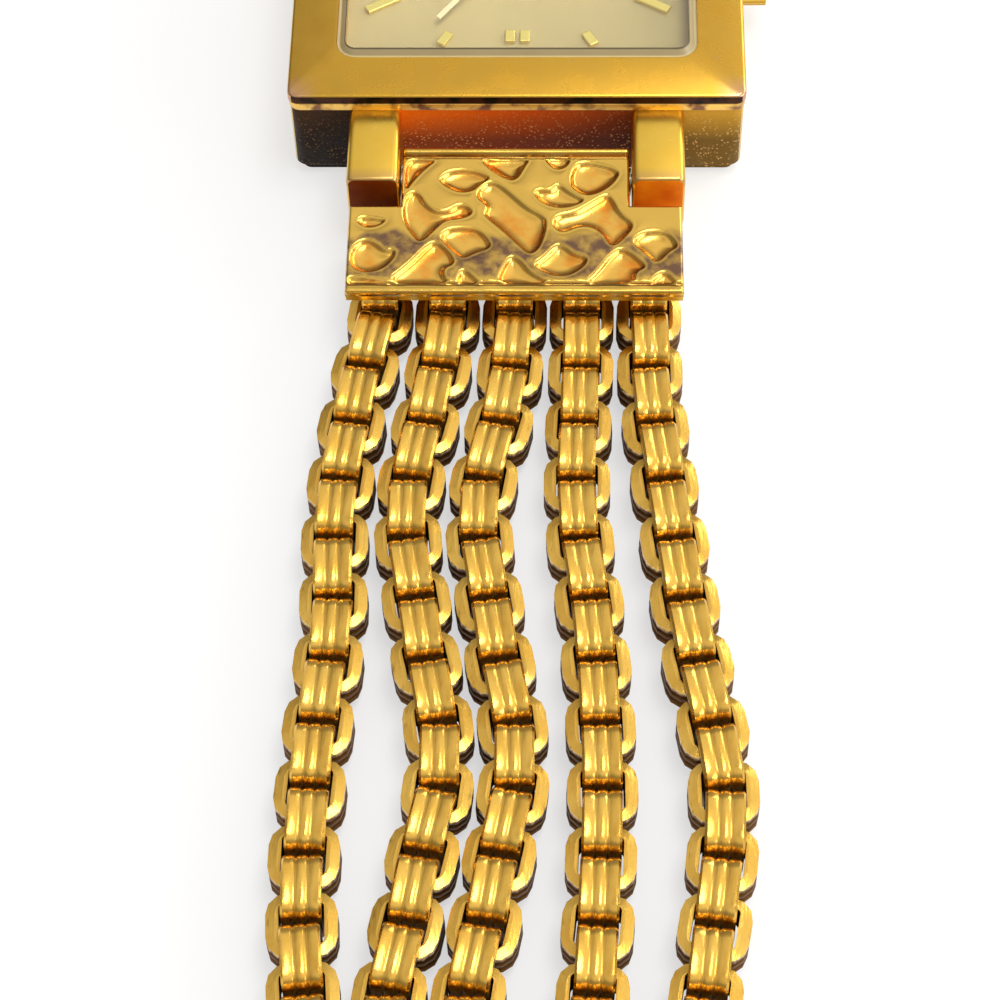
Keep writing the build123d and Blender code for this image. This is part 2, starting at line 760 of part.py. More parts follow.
with BuildPart() as setting_stem:
    with BuildSketch(Plane.YZ.offset(stem_inner_end)):
        with Locations((0, stem_z)):
            Circle(stem_radius)
    extrude(amount=crown_inner + recess_depth + stem_in_crown - pin_gap - stem_inner_end)
    with BuildSketch(Plane.YZ.offset(lever_place_x - groove_width / 2)):
        with Locations((0, stem_z)):
            Circle(stem_radius + pin_gap)
            Circle(groove_radius, mode=Mode.SUBTRACT)
    extrude(amount=groove_width, mode=Mode.SUBTRACT)
save(setting_stem.part, "setting_stem")

fork_end = groove_radius + 2 * shaft_gap
with BuildPart() as setting_lever:
    with BuildSketch(Plane.YZ.offset(lever_place_x - lever_thickness / 2)):
        with Locations(((lever_above_stem - lever_below_stem) / 2, stem_z)):
            Rectangle(lever_above_stem + lever_below_stem, lever_height)
        with Locations((fork_end / 2 - lever_below_stem, stem_z)):
            Rectangle(
                fork_end + 2 * lever_below_stem, 2 * (groove_radius + shaft_gap), mode=Mode.SUBTRACT
            )
    extrude(amount=lever_thickness)
save(setting_lever.part, "setting_lever")

# Spring bars between the lugs, with their two sprung tips
with BuildPart() as spring_bar:
    with BuildSketch(Plane.YZ):
        with Locations((bar_y, bar_z)):
            Circle(bar_radius)
    extrude(amount=lug_gap / 2 - seat_gap, both=True)
    with BuildSketch(Plane.YZ):
        with Locations((bar_y, bar_z)):
            Circle(bar_tip_radius)
    extrude(amount=lug_gap / 2 + bar_tip_length, both=True)
save_both_sides(spring_bar.part, "spring_bar")

# Strand heads: a plate over an open pocket, with two cheeks that hold the strand pin
cheek_places = [(-(head_width - head_cheek) / 2), (head_width - head_cheek) / 2]


def strand_head(pin_y, outward, bottom, back_y):
    # Outward is -1 when the pocket opens away from the case and +1 when it opens towards it
    rim_y = pin_y + outward * pin_to_rim
    wall_y_inner = pin_y - outward * pin_to_back_wall
    with BuildPart() as head:
        with BuildSketch(Plane.XY.offset(head_top - head_plate)):
            with Locations((0, (rim_y + back_y) / 2)):
                Rectangle(head_width, abs(rim_y - back_y))
        extrude(amount=head_plate)
        with BuildSketch(Plane.XY.offset(bottom)):
            with Locations((0, (wall_y_inner + back_y) / 2)):
                Rectangle(head_width, abs(wall_y_inner - back_y))
            for cheek_x in cheek_places:
                with Locations((cheek_x, (pin_y + back_y) / 2)):
                    Rectangle(head_cheek, abs(pin_y - back_y))
        extrude(amount=head_top - head_plate - bottom)
        for cheek_x in cheek_places:
            with BuildSketch(Plane.YZ.offset(cheek_x)):
                with Locations((pin_y, link_z)):
                    Circle(cheek_nose_radius)
            extrude(amount=head_cheek / 2, both=True)
        with BuildSketch(Plane.YZ):
            with Locations((pin_y, link_z)):
                Circle(strand_pin_radius + pin_gap)
        extrude(amount=head_width / 2, both=True, mode=Mode.SUBTRACT)
    return head.part


def strand_pin(pin_y):
    # The plain pin that all five strands hang on
    with BuildPart() as pin:
        with BuildSketch(Plane.YZ):
            with Locations((pin_y, link_z)):
                Circle(strand_pin_radius)
        extrude(amount=head_width / 2 - pin_gap, both=True)
    return pin.part


# End piece: the head with a tongue that fits between the lugs and turns on the spring bar
tongue_width = lug_gap - 2 * tongue_side_gap
tongue_back = bar_y + tongue_behind_bar
with BuildPart() as end_piece:
    add(strand_head(strand_pin_y, -1, end_piece_bottom, shoulder_y))
    with BuildSketch(Plane.XY.offset(tongue_bottom)):
        with Locations((0, (tongue_back + shoulder_y) / 2)):
            Rectangle(tongue_width, tongue_back - shoulder_y)
    extrude(amount=head_top - tongue_bottom)
    tongue_edges = end_piece.edges().filter_by(lambda e: e.center().Y > tongue_back - 0.001)
    chamfer(tongue_edges.filter_by(Axis.X), length=2 * edge_break)
    with BuildSketch(Plane.YZ):
        with Locations((bar_y, bar_z)):
            Circle(bar_radius + shaft_gap)
    extrude(amount=lug_gap / 2, both=True, mode=Mode.SUBTRACT)
save_both_sides(end_piece.part, "end_piece")
save_both_sides(strand_pin(strand_pin_y), "strand_pin")

# Links: one lying ring and one standing ring, copied along the strands
with BuildPart() as lying_link:
    with BuildSketch():
        RectangleRounded(link_width, link_length, link_corner)
        RectangleRounded(
            link_width - 2 * link_bar, link_length - 2 * link_bar, link_corner - link_bar,
            mode=Mode.SUBTRACT,
        )
    extrude(amount=link_band / 2, both=True)

with BuildPart() as standing_link:
    add(lying_link.part, rotation=(0, 90, 0))


def strand_side_place(route, distance):
    # X of a strand and its slope there, on a smooth curve through the route's points
    last = len(route) - 1
    at = max(i for i in range(last) if i == 0 or route[i][0] <= distance)
    slopes = []
    for i in (at, at + 1):
        before, after = route[max(i - 1, 0)], route[min(i + 1, last)]
        slopes.append((after[1] - before[1]) / (after[0] - before[0]))
    span = route[at + 1][0] - route[at][0]
    t = (distance - route[at][0]) / span
    start, end = route[at][1], route[at + 1][1]
    x = (
        (1 + 2 * t) * (1 - t) ** 2 * start
        + t * (1 - t) ** 2 * span * slopes[0]
        + t * t * (3 - 2 * t) * end
        + t * t * (t - 1) * span * slopes[1]
    )
    slope = (
        6 * t * (t - 1) * (start - end) / span
        + (1 - t) * (1 - 3 * t) * slopes[0]
        + t * (3 * t - 2) * slopes[1]
    )
    return x, slope


def link_places(numbers):
    # Places of the numbered links on all five strands
    places = []
    for route in strand_routes:
        for number in numbers:
            distance = number * half_pitch
            x, slope = strand_side_place(route, distance)
            turn = math.degrees(math.atan(slope))
            places.append(Location((x, first_link_y - distance, link_z), (0, 0, turn)))
    return places


# Rows: four links of each strand that lie between two hinge lines
for row in range(rows_in_side):
    first = row * links_in_row
    last = links_in_strand if row == rows_in_side - 1 else first + links_in_row
    with BuildPart() as strand_row:
        with Locations(*link_places(range(first, last, 2))):
            add(standing_link.part)
        with Locations(*link_places(range(first + 1, last, 2))):
            add(lying_link.part)
    save_both_sides(strand_row.part, f"strand_row_{row + 1}")

# Strand end bars: the same head facing the other way
ear_x = clasp_tongue_width / 2 + clasp_ear_gap + clasp_ear_width / 2
with BuildPart() as end_bar_6:
    add(strand_head(end_pin_y, 1, 0, end_bar_back))
    with BuildSketch(Plane.YZ):
        with Locations((clasp_hinge_y, clasp_hinge_height)):
            Circle(clasp_knuckle_radius)
        with Locations((clasp_hinge_y + clasp_hinge_reach / 2, clasp_hinge_height)):
            Rectangle(clasp_hinge_reach, 2 * clasp_knuckle_radius)
    extrude(amount=ear_x + clasp_ear_width / 2, both=True)
    with BuildSketch(Plane.XY):
        with Locations((0, end_bar_back - 2 * clasp_knuckle_radius)):
            Rectangle(clasp_tongue_width + 2 * clasp_ear_gap, 4 * clasp_knuckle_radius)
    extrude(amount=head_top, mode=Mode.SUBTRACT)
    with BuildSketch(Plane.YZ):
        with Locations((clasp_hinge_y, clasp_hinge_height)):
            Circle(clasp_pin_radius + pin_gap)
    extrude(amount=head_width / 2, both=True, mode=Mode.SUBTRACT)
save(end_bar_6.part, "end_bar_6")

catch_y = -(end_bar_back - catch_reach)
catch_arm_x = catch_span / 2 + catch_arm_width / 2
with BuildPart() as end_bar_12:
    add(strand_head(end_pin_y, 1, 0, end_bar_back), rotation=(0, 0, 180))
    with BuildSketch(Plane.YZ):
        with Locations((catch_y, clasp_hinge_height)):
            Circle(clasp_knuckle_radius)
        with Locations((catch_y - catch_reach / 2, clasp_hinge_height)):
            Rectangle(catch_reach, 2 * clasp_knuckle_radius)
    extrude(amount=catch_span / 2 + catch_arm_width, both=True)
    with BuildSketch(Plane.XY):
        with Locations((0, catch_y - catch_reach + 3 * clasp_knuckle_radius)):
            Rectangle(catch_span, 6 * clasp_knuckle_radius)
    extrude(amount=head_top, mode=Mode.SUBTRACT)
    with BuildSketch(Plane.YZ):
        with Locations((catch_y, clasp_hinge_height)):
            Circle(catch_bar_radius + pin_gap)
    extrude(amount=head_width / 2, both=True, mode=Mode.SUBTRACT)
save(end_bar_12.part, "end_bar_12")
save_both_sides(strand_pin(end_pin_y), "end_bar_pin")

with BuildPart() as catch_bar:
    with BuildSketch(Plane.YZ):
        with Locations((catch_y, clasp_hinge_height)):
            Circle(catch_bar_radius)
    extrude(amount=catch_span / 2 + catch_arm_width, both=True)
save(catch_bar.part, "catch_bar")

# Clasp frame: a tray with two side walls and a tongue on the hinge pin
frame_front = clasp_hinge_y - clasp_knuckle_radius - 2 * clasp_ear_gap
frame_back = frame_front - frame_length
cover_pin_y = frame_back + cover_pin_inset
wall_middle_x = (frame_width - frame_wall) / 2
with BuildPart() as clasp_frame:
    with BuildSketch(Plane.XY):
        with Locations((0, (frame_front + frame_back) / 2)):
            Rectangle(frame_width, frame_length)
    extrude(amount=frame_floor)
    for side in (-1, 1):
        with BuildSketch(Plane.YZ.offset(side * wall_middle_x)):
            with Locations(((frame_front + cover_pin_y) / 2, frame_height / 2)):
                Rectangle(frame_front - cover_pin_y, frame_height)
            with Locations((cover_pin_y, cover_pin_height)):
                Circle(cover_knuckle_radius)
            with Locations((cover_pin_y, cover_pin_height / 2)):
                Rectangle(2 * cover_knuckle_radius, cover_pin_height)
        extrude(amount=frame_wall / 2, both=True)
    with BuildSketch(Plane.YZ):
        with Locations((clasp_hinge_y, clasp_hinge_height)):
            Circle(clasp_knuckle_radius)
        with Locations(((clasp_hinge_y + frame_front - tongue_root) / 2, clasp_hinge_height)):
            Rectangle(clasp_hinge_y - frame_front + tongue_root, 2 * clasp_knuckle_radius)
    extrude(amount=clasp_tongue_width / 2, both=True)
    with BuildSketch(Plane.XY.offset(frame_floor)):
        with Locations((0, frame_front - tongue_foot / 2)):
            Rectangle(clasp_tongue_width, tongue_foot)
    extrude(amount=clasp_hinge_height - frame_floor)
    with BuildSketch(Plane.YZ):
        with Locations((clasp_hinge_y, clasp_hinge_height)):
            Circle(clasp_pin_radius + shaft_gap)
        with Locations((cover_pin_y, cover_pin_height)):
            Circle(clasp_pin_radius + pin_gap)
    extrude(amount=frame_width, both=True, mode=Mode.SUBTRACT)
save(clasp_frame.part, "clasp_frame")

# Cover: folds over the frame, turning on a pin at the frame's far end
cover_bottom = frame_height + cover_gap
cover_top = cover_bottom + cover_thickness
cover_start = cover_pin_y + cover_past_pin
with BuildPart() as clasp_cover:
    with BuildSketch(Plane.XY.offset(cover_bottom)):
        with Locations((0, (frame_front + cover_start) / 2)):
            Rectangle(frame_width, frame_front - cover_start)
    extrude(amount=cover_thickness)
    inner_width = frame_width - 2 * frame_wall - 4 * seat_gap
    with BuildSketch(Plane.YZ):
        with Locations((cover_pin_y, cover_pin_height)):
            Circle(cover_knuckle_radius)
        with Locations((cover_pin_y, (cover_pin_height + cover_top) / 2)):
            Rectangle(2 * cover_knuckle_radius, cover_top - cover_pin_height)
    extrude(amount=inner_width / 2, both=True)
    with BuildSketch(Plane.XY.offset(cover_bottom - cover_lip)):
        with Locations((0, frame_front - cover_lip_inset)):
            Rectangle(inner_width - 2 * cover_lip_side, cover_lip_thickness)
    extrude(amount=cover_lip)
    top_edges = clasp_cover.faces().sort_by(Axis.Z)[-1].edges()
    chamfer(top_edges, length=lug_chamfer)
    with BuildSketch(Plane.YZ):
        with Locations((cover_pin_y, cover_pin_height)):
            Circle(clasp_pin_radius + shaft_gap)
    extrude(amount=frame_width, both=True, mode=Mode.SUBTRACT)
save(clasp_cover.part, "clasp_cover")

# Clasp pins: one through the ears of the end bar, one through the frame's walls
with BuildPart() as clasp_pins:
    with BuildSketch(Plane.YZ):
        with Locations((clasp_hinge_y, clasp_hinge_height)):
            Circle(clasp_pin_radius)
    extrude(amount=ear_x + clasp_ear_width / 2, both=True)
    with BuildSketch(Plane.YZ):
        with Locations((cover_pin_y, cover_pin_height)):
            Circle(clasp_pin_radius)
    extrude(amount=frame_width / 2, both=True)
save(clasp_pins.part, "clasp_pins")
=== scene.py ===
"""Looks of a small gold-tone bracelet watch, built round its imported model.

The file is laid out as an add-on: the sizes and colours are properties, every piece or group
of like pieces is an operator, and main() calls them in order. Lengths in the helper functions
are millimetres, in the model's own frame: +X to 3 o'clock, +Y to 12 o'clock, +Z out of the dial.
"""

import json
import math
from functools import partial

import bmesh
import bpy
import numpy as np
from bpy.props import FloatProperty, FloatVectorProperty, PointerProperty
from mathutils import Matrix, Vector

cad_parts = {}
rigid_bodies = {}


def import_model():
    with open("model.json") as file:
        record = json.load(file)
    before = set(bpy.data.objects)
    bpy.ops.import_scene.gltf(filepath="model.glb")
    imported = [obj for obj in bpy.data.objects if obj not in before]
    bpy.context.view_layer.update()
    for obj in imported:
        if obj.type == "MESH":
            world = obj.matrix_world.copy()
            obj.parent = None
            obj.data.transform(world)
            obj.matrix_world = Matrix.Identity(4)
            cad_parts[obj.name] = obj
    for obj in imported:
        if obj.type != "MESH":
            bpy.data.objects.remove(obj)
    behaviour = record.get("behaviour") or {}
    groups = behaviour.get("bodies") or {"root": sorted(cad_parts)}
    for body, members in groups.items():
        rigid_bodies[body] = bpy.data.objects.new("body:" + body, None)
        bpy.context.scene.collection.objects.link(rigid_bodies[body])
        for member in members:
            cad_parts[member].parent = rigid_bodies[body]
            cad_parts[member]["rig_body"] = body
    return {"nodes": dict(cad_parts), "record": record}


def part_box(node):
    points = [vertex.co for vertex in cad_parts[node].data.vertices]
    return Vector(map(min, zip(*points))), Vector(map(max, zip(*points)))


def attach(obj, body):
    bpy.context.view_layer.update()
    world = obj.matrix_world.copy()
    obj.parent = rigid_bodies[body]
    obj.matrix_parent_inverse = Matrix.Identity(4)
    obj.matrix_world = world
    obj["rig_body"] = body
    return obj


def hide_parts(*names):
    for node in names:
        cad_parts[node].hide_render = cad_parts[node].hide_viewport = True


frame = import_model()

bl_info = {
    "name": "Bracelet watch looks",
    "version": (1, 0, 0),
    "blender": (4, 5, 0),
    "location": "View3D > Sidebar > Watch",
    "description": "Dresses a packed bracelet watch: case, relief end pieces, box chain and clasp",
    "category": "Object",
}

MM = 0.001
SIDES = {"6": 1.0, "12": -1.0}
ROWS_IN_SIDE = 8
LINKS_IN_ROW = 4
LINKS_IN_STRAND = 33

# Heights and places of the case's own steps, in millimetres. The cavity is given as half x, half y
# and corner radius.
BAND_TOP = 5.7
LUG_TOP = 5.2
LUG_FOOT = 1.3
LUG_IN = 6.0
LUG_OUT = 8.7
LUG_END = 15.65
LUG_ROOT = 0.6
WALL_Y = 10.97
CASE_CORNER = 0.6
CASE_FOOT_ROUND = 0.2
BAND_PROUD = 0.07
BAND_OVER_SIDE = 0.04
BAND_OVER_END = 0.05
CAVITY = (9.8, 8.95, 1.2)

# The bezel's profile, in millimetres: height of its slope, the gap at its foot, the flat round the
# opening, the ledge that holds the crystal, and its clearance in the cavity
BEZEL_SLOPE = 0.45
BEZEL_CORNER = 0.5
OPENING_CORNER = 1.0
FOOT_GAP = 0.06
OPENING_LAND = 0.12
CRYSTAL_LEDGE = 0.4
CAVITY_CLEARANCE = 0.05

# The crystal's bevel and corner, in millimetres
CRYSTAL_BEVEL = 0.35
CRYSTAL_CORNER = 0.9

# Rounding of the castings', clasp's and hands' edges against the crisp edge
CASTING_EDGE = 1.4
CLASP_EDGE = 2
HAND_EDGE = 0.8

# Angles in degrees above which an edge stays hard: rounded pieces, case and bezel, crystal
HARD_ANGLE = 40
CASE_HARD_ANGLE = 38
CRYSTAL_HARD_ANGLE = 20

# Points in a quarter round of a loft, and in one of a ring
CORNER_POINTS = 6
RING_CORNER_POINTS = 4

# Size of the clouds that a finish's roughness and depth of colour follow, in millimetres
CLOUD_SIZE = 1.6


def mm(length):
    """A length in millimetres as metres."""
    return length * MM


def per_mm(length):
    """Scale of a texture whose features are this many millimetres across."""
    return 1.0 / mm(length)


def linear(code):
    """An sRGB hex colour such as #C99A2E as linear red, green, blue and alpha."""
    levels = [int(code[i:i + 2], 16) / 255 for i in (1, 3, 5)]
    return tuple(v / 12.92 if v <= 0.04045 else ((v + 0.055) / 1.055) ** 2.4 for v in levels) + (1.0,)


def length_property(name, description, length):
    """A length that a user may set, with its default in millimetres."""
    return FloatProperty(
        name=name, description=description, default=mm(length), min=0.0,
        precision=5, subtype="DISTANCE", unit="LENGTH",
    )


def colour_property(name, description, code):
    """A colour that a user may set, with its default as sRGB hex."""
    return FloatVectorProperty(
        name=name, description=description, default=linear(code), min=0.0, max=1.0,
        size=4, subtype="COLOR",
    )


class WatchChain(bpy.types.PropertyGroup):
    """Sizes of the box chain."""

    width: length_property("Link width", "Ring size across the strand", 3.25)
    length: length_property("Link length", "Ring size along the strand", 3.18)
    bend: length_property("Bend", "Outer corner radius of a standing ring", 0.78)
    eye: length_property("Eye corner", "Corner radius of a ring's opening", 0.2)
    corner: length_property("Corner radius", "Outer corner radius of a lying ring", 1.05)
    bar: length_property("Bar", "Thickness of a standing ring's band", 0.56)
    ear: length_property("Ear", "Thickness of a lying ring's band", 0.6)
    band: length_property("Band", "Width of a standing ring's band", 1.84)
    ear_band: length_property("Ear band", "Height of a lying ring's band", 1.66)
    groove: length_property("Groove", "Depth of the two grooves round a ring", 0.1)
    bevel: length_property("Bevel", "Bevel along a standing ring's edges", 0.1)
    chamfer: length_property("Chamfer", "Width of a lying ring's sloped edge", 0.42)
    pitch: length_property("Half pitch", "From a standing ring to the next lying ring", 1.695)
    first: length_property("First link", "Distance of the first ring from the hand axis", 20.45)


class WatchCasework(bpy.types.PropertyGroup):
    """Sizes of the case's edges and of the relief."""

    lug_round: length_property("Lug round", "Rounding along the lugs", 0.36)
    soft_edge: length_property("Soft edge", "Rounding of polished edges", 0.14)
    crisp_edge: length_property("Crisp edge", "Rounding of small pieces' edges", 0.05)
    relief_top: length_property("Relief top", "Height of the relief's raised lattice", 4.34)
    relief_depth: length_property("Relief depth", "Depth of the relief's cells", 0.37)
    relief_step: length_property("Relief step", "Grid spacing of the relief's surface", 0.07)


class WatchColours(bpy.types.PropertyGroup):
    """Colours of the finishes."""

    bezel: colour_property("Bezel gold", "Polished plating", "#D5A73F")
    plating: colour_property("Case gold", "Satin plating on the case and lugs", "#ECC250")
    # Painted reflection: the orange between the lugs on the case's end walls
    recess: colour_property("Recess", "Tarnished plating between the lugs", "#F07008")
    # Painted reflection and shade on the lugs' end faces
    amber: colour_property("Amber film", "Lacquer film on the lugs' end faces", "#F68A12")
    chain: colour_property("Chain gold", "Plating on the strands", "#F2C258")
    band: colour_property("Worn band", "Bezel's side and the band under it", "#8A5A38")
    hands: colour_property("Hands", "Pale gilt hands", "#FFF3CC")
    edge: colour_property("Crystal edge", "Ground edge of the crystal", "#A8966A")
    # Painted shade low on the strands
    tarnish: colour_property("Tarnish", "Dark film low on the strands", "#6A4414")
    relief: colour_property("Relief gold", "Raised lattice of the end pieces", "#E4B854")
    cell: colour_property("Relief cells", "Sunk cells of the end pieces", "#F0BC55")
    worn: colour_property("Worn metal", "Base metal where the plating has gone", "#7C5C46")
    dial: colour_property("Dial", "Champagne dial", "#AE9D6B")
    applique: colour_property("Markers", "Gilt markers", "#FFEC8C")
    glass: colour_property("Crystal", "Clear mineral glass", "#FBFBF4")


class WatchStage(bpy.types.PropertyGroup):
    """Floor and light."""

    floor: colour_property("Floor", "Plain pale floor", "#F6F5F2")
    key_size: length_property("Key size", "Width of the overhead softbox", 320.0)
    fill_size: length_property("Fill size", "Length of the two strips at the right", 380.0)


def set_inputs(node, inputs):
    """Gives a node's inputs their values, or a link where the value is another node's output."""
    for name, value in inputs.items():
        if isinstance(value, bpy.types.NodeSocket):
            node.id_data.links.new(value, node.inputs[name])
        else:
            node.inputs[name].default_value = value


def add_node(tree, kind, inputs=None, out=0, stops=None, **settings):
    """Adds a shader node with its settings, its ramp's stops and its inputs, and gives one output.

    Map Range takes its value at 0, its range at 1 and 2, and the range that it becomes, where
    that isn't 0 to 1, at 3 and 4. Mix always blends colours: it takes its factor at 0 and its
    colours at 6 and 7, and gives their blend at 2.
    """
    node = tree.nodes.new("ShaderNode" + kind)
    if kind == "Mix":
        node.data_type = "RGBA"
        out = 2
    for name, value in settings.items():
        setattr(node, name, value)
    if stops:
        while len(node.color_ramp.elements) < len(stops):
            node.color_ramp.elements.new(0.5)
        for element, (position, colour) in zip(node.color_ramp.elements, stops):
            element.position = position
            element.color = colour
    set_inputs(node, inputs or {})
    return node.outputs[out]


def grey(level):
    """A grey of that linear level."""
    return (level, level, level, 1.0)


def toned(colour, shares):
    """A colour with its red, green and blue each taken at a share."""
    return tuple(level * share for level, share in zip(colour, shares + (1.0,)))


def start_material(name):
    """A new material with one Principled shader.

    Gives it with add_node for its tree, the shader and the Object coordinates.
    """
    material = bpy.data.materials.new(name)
    material.use_nodes = True
    shader = material.node_tree.nodes["Principled BSDF"]
    add = partial(add_node, material.node_tree)
    return material, add, shader, add("TexCoord", out="Object")


def satin_finish(add, shader, place, grain, depth, rough_low, rough_high, stretch=(1.0, 1.0, 1.0)):
    """Fine tooth of a plated surface: a grain of that size and depth as bump, and a roughness that
    wanders between two values in clouds of CLOUD_SIZE. Gives the grain and the clouds.
    """
    turned = add("Mapping", {"Vector": place, "Scale": stretch})
    fine = add("TexNoise", {"Vector": turned, "Scale": per_mm(grain), "Detail": 3.0})
    broad = add("TexNoise", {"Vector": place, "Scale": per_mm(CLOUD_SIZE), "Detail": 4.0})
    bump = add("Bump", {"Height": fine, "Strength": 1.0, "Distance": mm(depth)})
    rough = add("MapRange", {0: broad, 1: 0.2, 2: 0.8, 3: rough_low, 4: rough_high})
    set_inputs(shader, {"Normal": bump, "Roughness": rough})
    return fine, broad


def polished_gold_plate(add, shader, place, colours):
    """Gold-plated brass, polished and long worn: a warm mirror with hairlines, dull at the corners."""
    set_inputs(shader, {"Metallic": 1.0, "Coat Weight": 0.15, "Coat Roughness": 0.12})
    _, broad = satin_finish(add, shader, place, 0.25, 0.0012, 0.2, 0.32, (1.0, 0.2, 1.0))
    x, y = (add("SeparateXYZ", {0: place}, axis) for axis in "XY")
    across = add("Math", {0: x}, operation="ABSOLUTE")
    along = add("Math", {0: y}, operation="ABSOLUTE")
    near_x = add("MapRange", {0: across, 1: mm(10.2), 2: mm(12.0)})
    near_y = add("MapRange", {0: along, 1: mm(9.6), 2: mm(11.1)})
    corner = add("Math", {0: near_x, 1: near_y}, operation="MULTIPLY")
    patch = add("TexNoise", {"Vector": place, "Scale": per_mm(0.9), "Detail": 5.0})
    speck = add("MapRange", {0: patch, 1: 0.71, 2: 0.74, 4: 0.7})
    worn = add("Math", {0: corner, 1: speck}, operation="ADD", use_clamp=True)
    depth = add("MapRange", {0: broad, 1: 0.2, 2: 0.8})
    deep = toned(colours.bezel, (0.86, 0.78, 0.6))
    rosy = linear("#C79A86")
    gold = add("Mix", {0: depth, 6: colours.bezel, 7: deep})
    colour = add("Mix", {0: worn, 6: gold, 7: rosy})
    set_inputs(shader, {"Base Color": colour})


def satin_gold_plate(add, shader, place, colours):
    """Gold-plated brass with a satin polish: soft reflections, and base metal at the lugs' tips."""
    set_inputs(shader, {"Metallic": 1.0, "Coat Weight": 0.1, "Coat Roughness": 0.2})
    _, broad = satin_finish(add, shader, place, 0.18, 0.0015, 0.24, 0.36, (1.0, 0.25, 1.0))
    depth = add("MapRange", {0: broad, 1: 0.2, 2: 0.8})
    deep = toned(colours.plating, (0.88, 0.8, 0.6))
    gold = add("Mix", {0: depth, 6: colours.plating, 7: deep})
    y, z = (add("SeparateXYZ", {0: place}, axis) for axis in "YZ")
    along = add("Math", {0: y}, operation="ABSOLUTE")
    tip = add("MapRange", {0: along, 1: mm(LUG_END - 0.85), 2: mm(LUG_END - 0.1), 4: 0.6})
    on_lug = add("MapRange", {0: z, 1: mm(LUG_TOP - 0.7), 2: mm(LUG_TOP - 0.5)})
    worn = add("Math", {0: tip, 1: on_lug}, operation="MULTIPLY")
    base_metal = linear("#B08A62")
    colour = add("Mix", {0: worn, 6: gold, 7: base_metal})
    set_inputs(shader, {"Base Color": colour})


def pitted_gold_recess(add, shader, place, colours):
    """Plating left as cast in the case's end walls, with fine pits, under painted light: painted
    shade, dark brown, outside the lugs at the left and low down, painted reflection, orange brown
    between them and olive gold at the right, and painted glints on the pits.
    """
    set_inputs(shader, {"Metallic": 0.3, "Specular IOR Level": 0.08})
    pits = add("TexVoronoi", {"Vector": place, "Scale": per_mm(0.19), "Randomness": 1.0})
    cloud = add("TexNoise", {"Vector": place, "Scale": per_mm(1.1), "Detail": 6.0})
    x, z = (add("SeparateXYZ", {0: place}, axis) for axis in "XZ")
    across = add("MapRange", {0: x, 1: mm(-12.0), 2: mm(12.0)})
    # Painted shade and reflection across X: dark brown at the left, orange between the lugs, olive at
    # the right
    side = add(
        "ValToRGB", {"Fac": across},
        stops=[(0.0, linear("#3A2410")), (0.14, linear("#241306")), (0.22, colours.recess),
               (0.5, linear("#C04E06")), (0.74, linear("#78300A")), (0.88, linear("#A47A22"))],
    )
    # Painted shade: the wall darker towards its foot
    height = add("MapRange", {0: z, 1: mm(2.8), 2: mm(4.9), 3: 0.45, 4: 1.5})
    shaded = add("Mix", {0: 1.0, 6: side, 7: height}, blend_type="MULTIPLY")
    # Painted glints: a pit is painted light where its fleck, a cloud, the wall's low part and its
    # middle and right meet
    painted_glint = add("MapRange", {0: pits, 1: 0.14, 2: 0.36, 3: 1.0, 4: 0.0})
    gate = add("MapRange", {0: cloud, 1: 0.4, 2: 0.52})
    low = add("MapRange", {0: z, 1: mm(3.2), 2: mm(4.9), 3: 1.0, 4: 0.3})
    kept = add("MapRange", {0: x, 1: mm(-9.0), 2: mm(-6.0), 3: 0.25})
    for share in (gate, low, kept):
        painted_glint = add("Math", {0: painted_glint, 1: share}, operation="MULTIPLY")
    bright = add("Mix", {0: 0.6, 6: side, 7: linear("#FFCC8C")})
    colour = add("Mix", {0: painted_glint, 6: shaded, 7: bright})
    bump = add("Bump", {"Height": pits, "Strength": 1.0, "Distance": mm(0.014)})
    rough = add("MapRange", {0: cloud, 1: 0.3, 2: 0.7, 3: 0.4, 4: 0.55})
    set_inputs(shader, {"Base Color": colour, "Normal": bump, "Roughness": rough})


def rubbed_gold_band(add, shader, place, colours):
    """Rubbed plating on the narrow upright bands: the bezel's side is painted near-black and brown as
    shade, and the case's band below it shows gold and rosy base metal in patches.
    """
    set_inputs(shader, {"Metallic": 0.8})
    satin_finish(add, shader, place, 0.15, 0.004, 0.28, 0.4)
    rub = add("TexNoise", {"Vector": place, "Scale": per_mm(1.1), "Detail": 5.0})
    left = add("MapRange", {0: rub, 1: 0.38, 2: 0.52})
    plated = linear("#FFCE68")
    case_band = add("Mix", {0: left, 6: colours.band, 7: plated})
    # Painted shade: the bezel's side near-black and dark brown in patches
    painted_shade_colour, brown = linear("#120904"), linear("#452410")
    bezel_side = add("Mix", {0: left, 6: painted_shade_colour, 7: brown})
    z = add("SeparateXYZ", {0: place}, "Z")
    is_bezel = add("MapRange", {0: z, 1: mm(BAND_TOP - 0.04), 2: mm(BAND_TOP + 0.02)})
    colour = add("Mix", {0: is_bezel, 6: case_band, 7: bezel_side})
    set_inputs(shader, {"Base Color": colour})


def amber_film_on_gold(add, shader, place, colours):
    """The lugs' end faces, painted with reflection and shade: dark near-red at the left as painted
    shade, vivid orange at the right as painted reflection.
    """
    set_inputs(shader, {"Metallic": 0.15, "Specular IOR Level": 0.06})
    _, broad = satin_finish(add, shader, place, 0.2, 0.002, 0.35, 0.5)
    x = add("SeparateXYZ", {0: place}, "X")
    right = add("MapRange", {0: x, 1: mm(-1.0), 2: mm(1.0)})
    # Painted shade at the left, fading to painted reflection at the right
    deep = toned(colours.amber, (0.2, 0.14, 0.3))
    side = add("Mix", {0: right, 6: deep, 7: colours.amber})
    cloudy = add("MapRange", {0: broad, 1: 0.35, 2: 0.7, 4: 0.6})
    dusk = toned(colours.amber, (0.6, 0.45, 0.5))
    colour = add("Mix", {0: cloudy, 6: side, 7: dusk}, blend_type="MULTIPLY")
    set_inputs(shader, {"Base Color": colour})


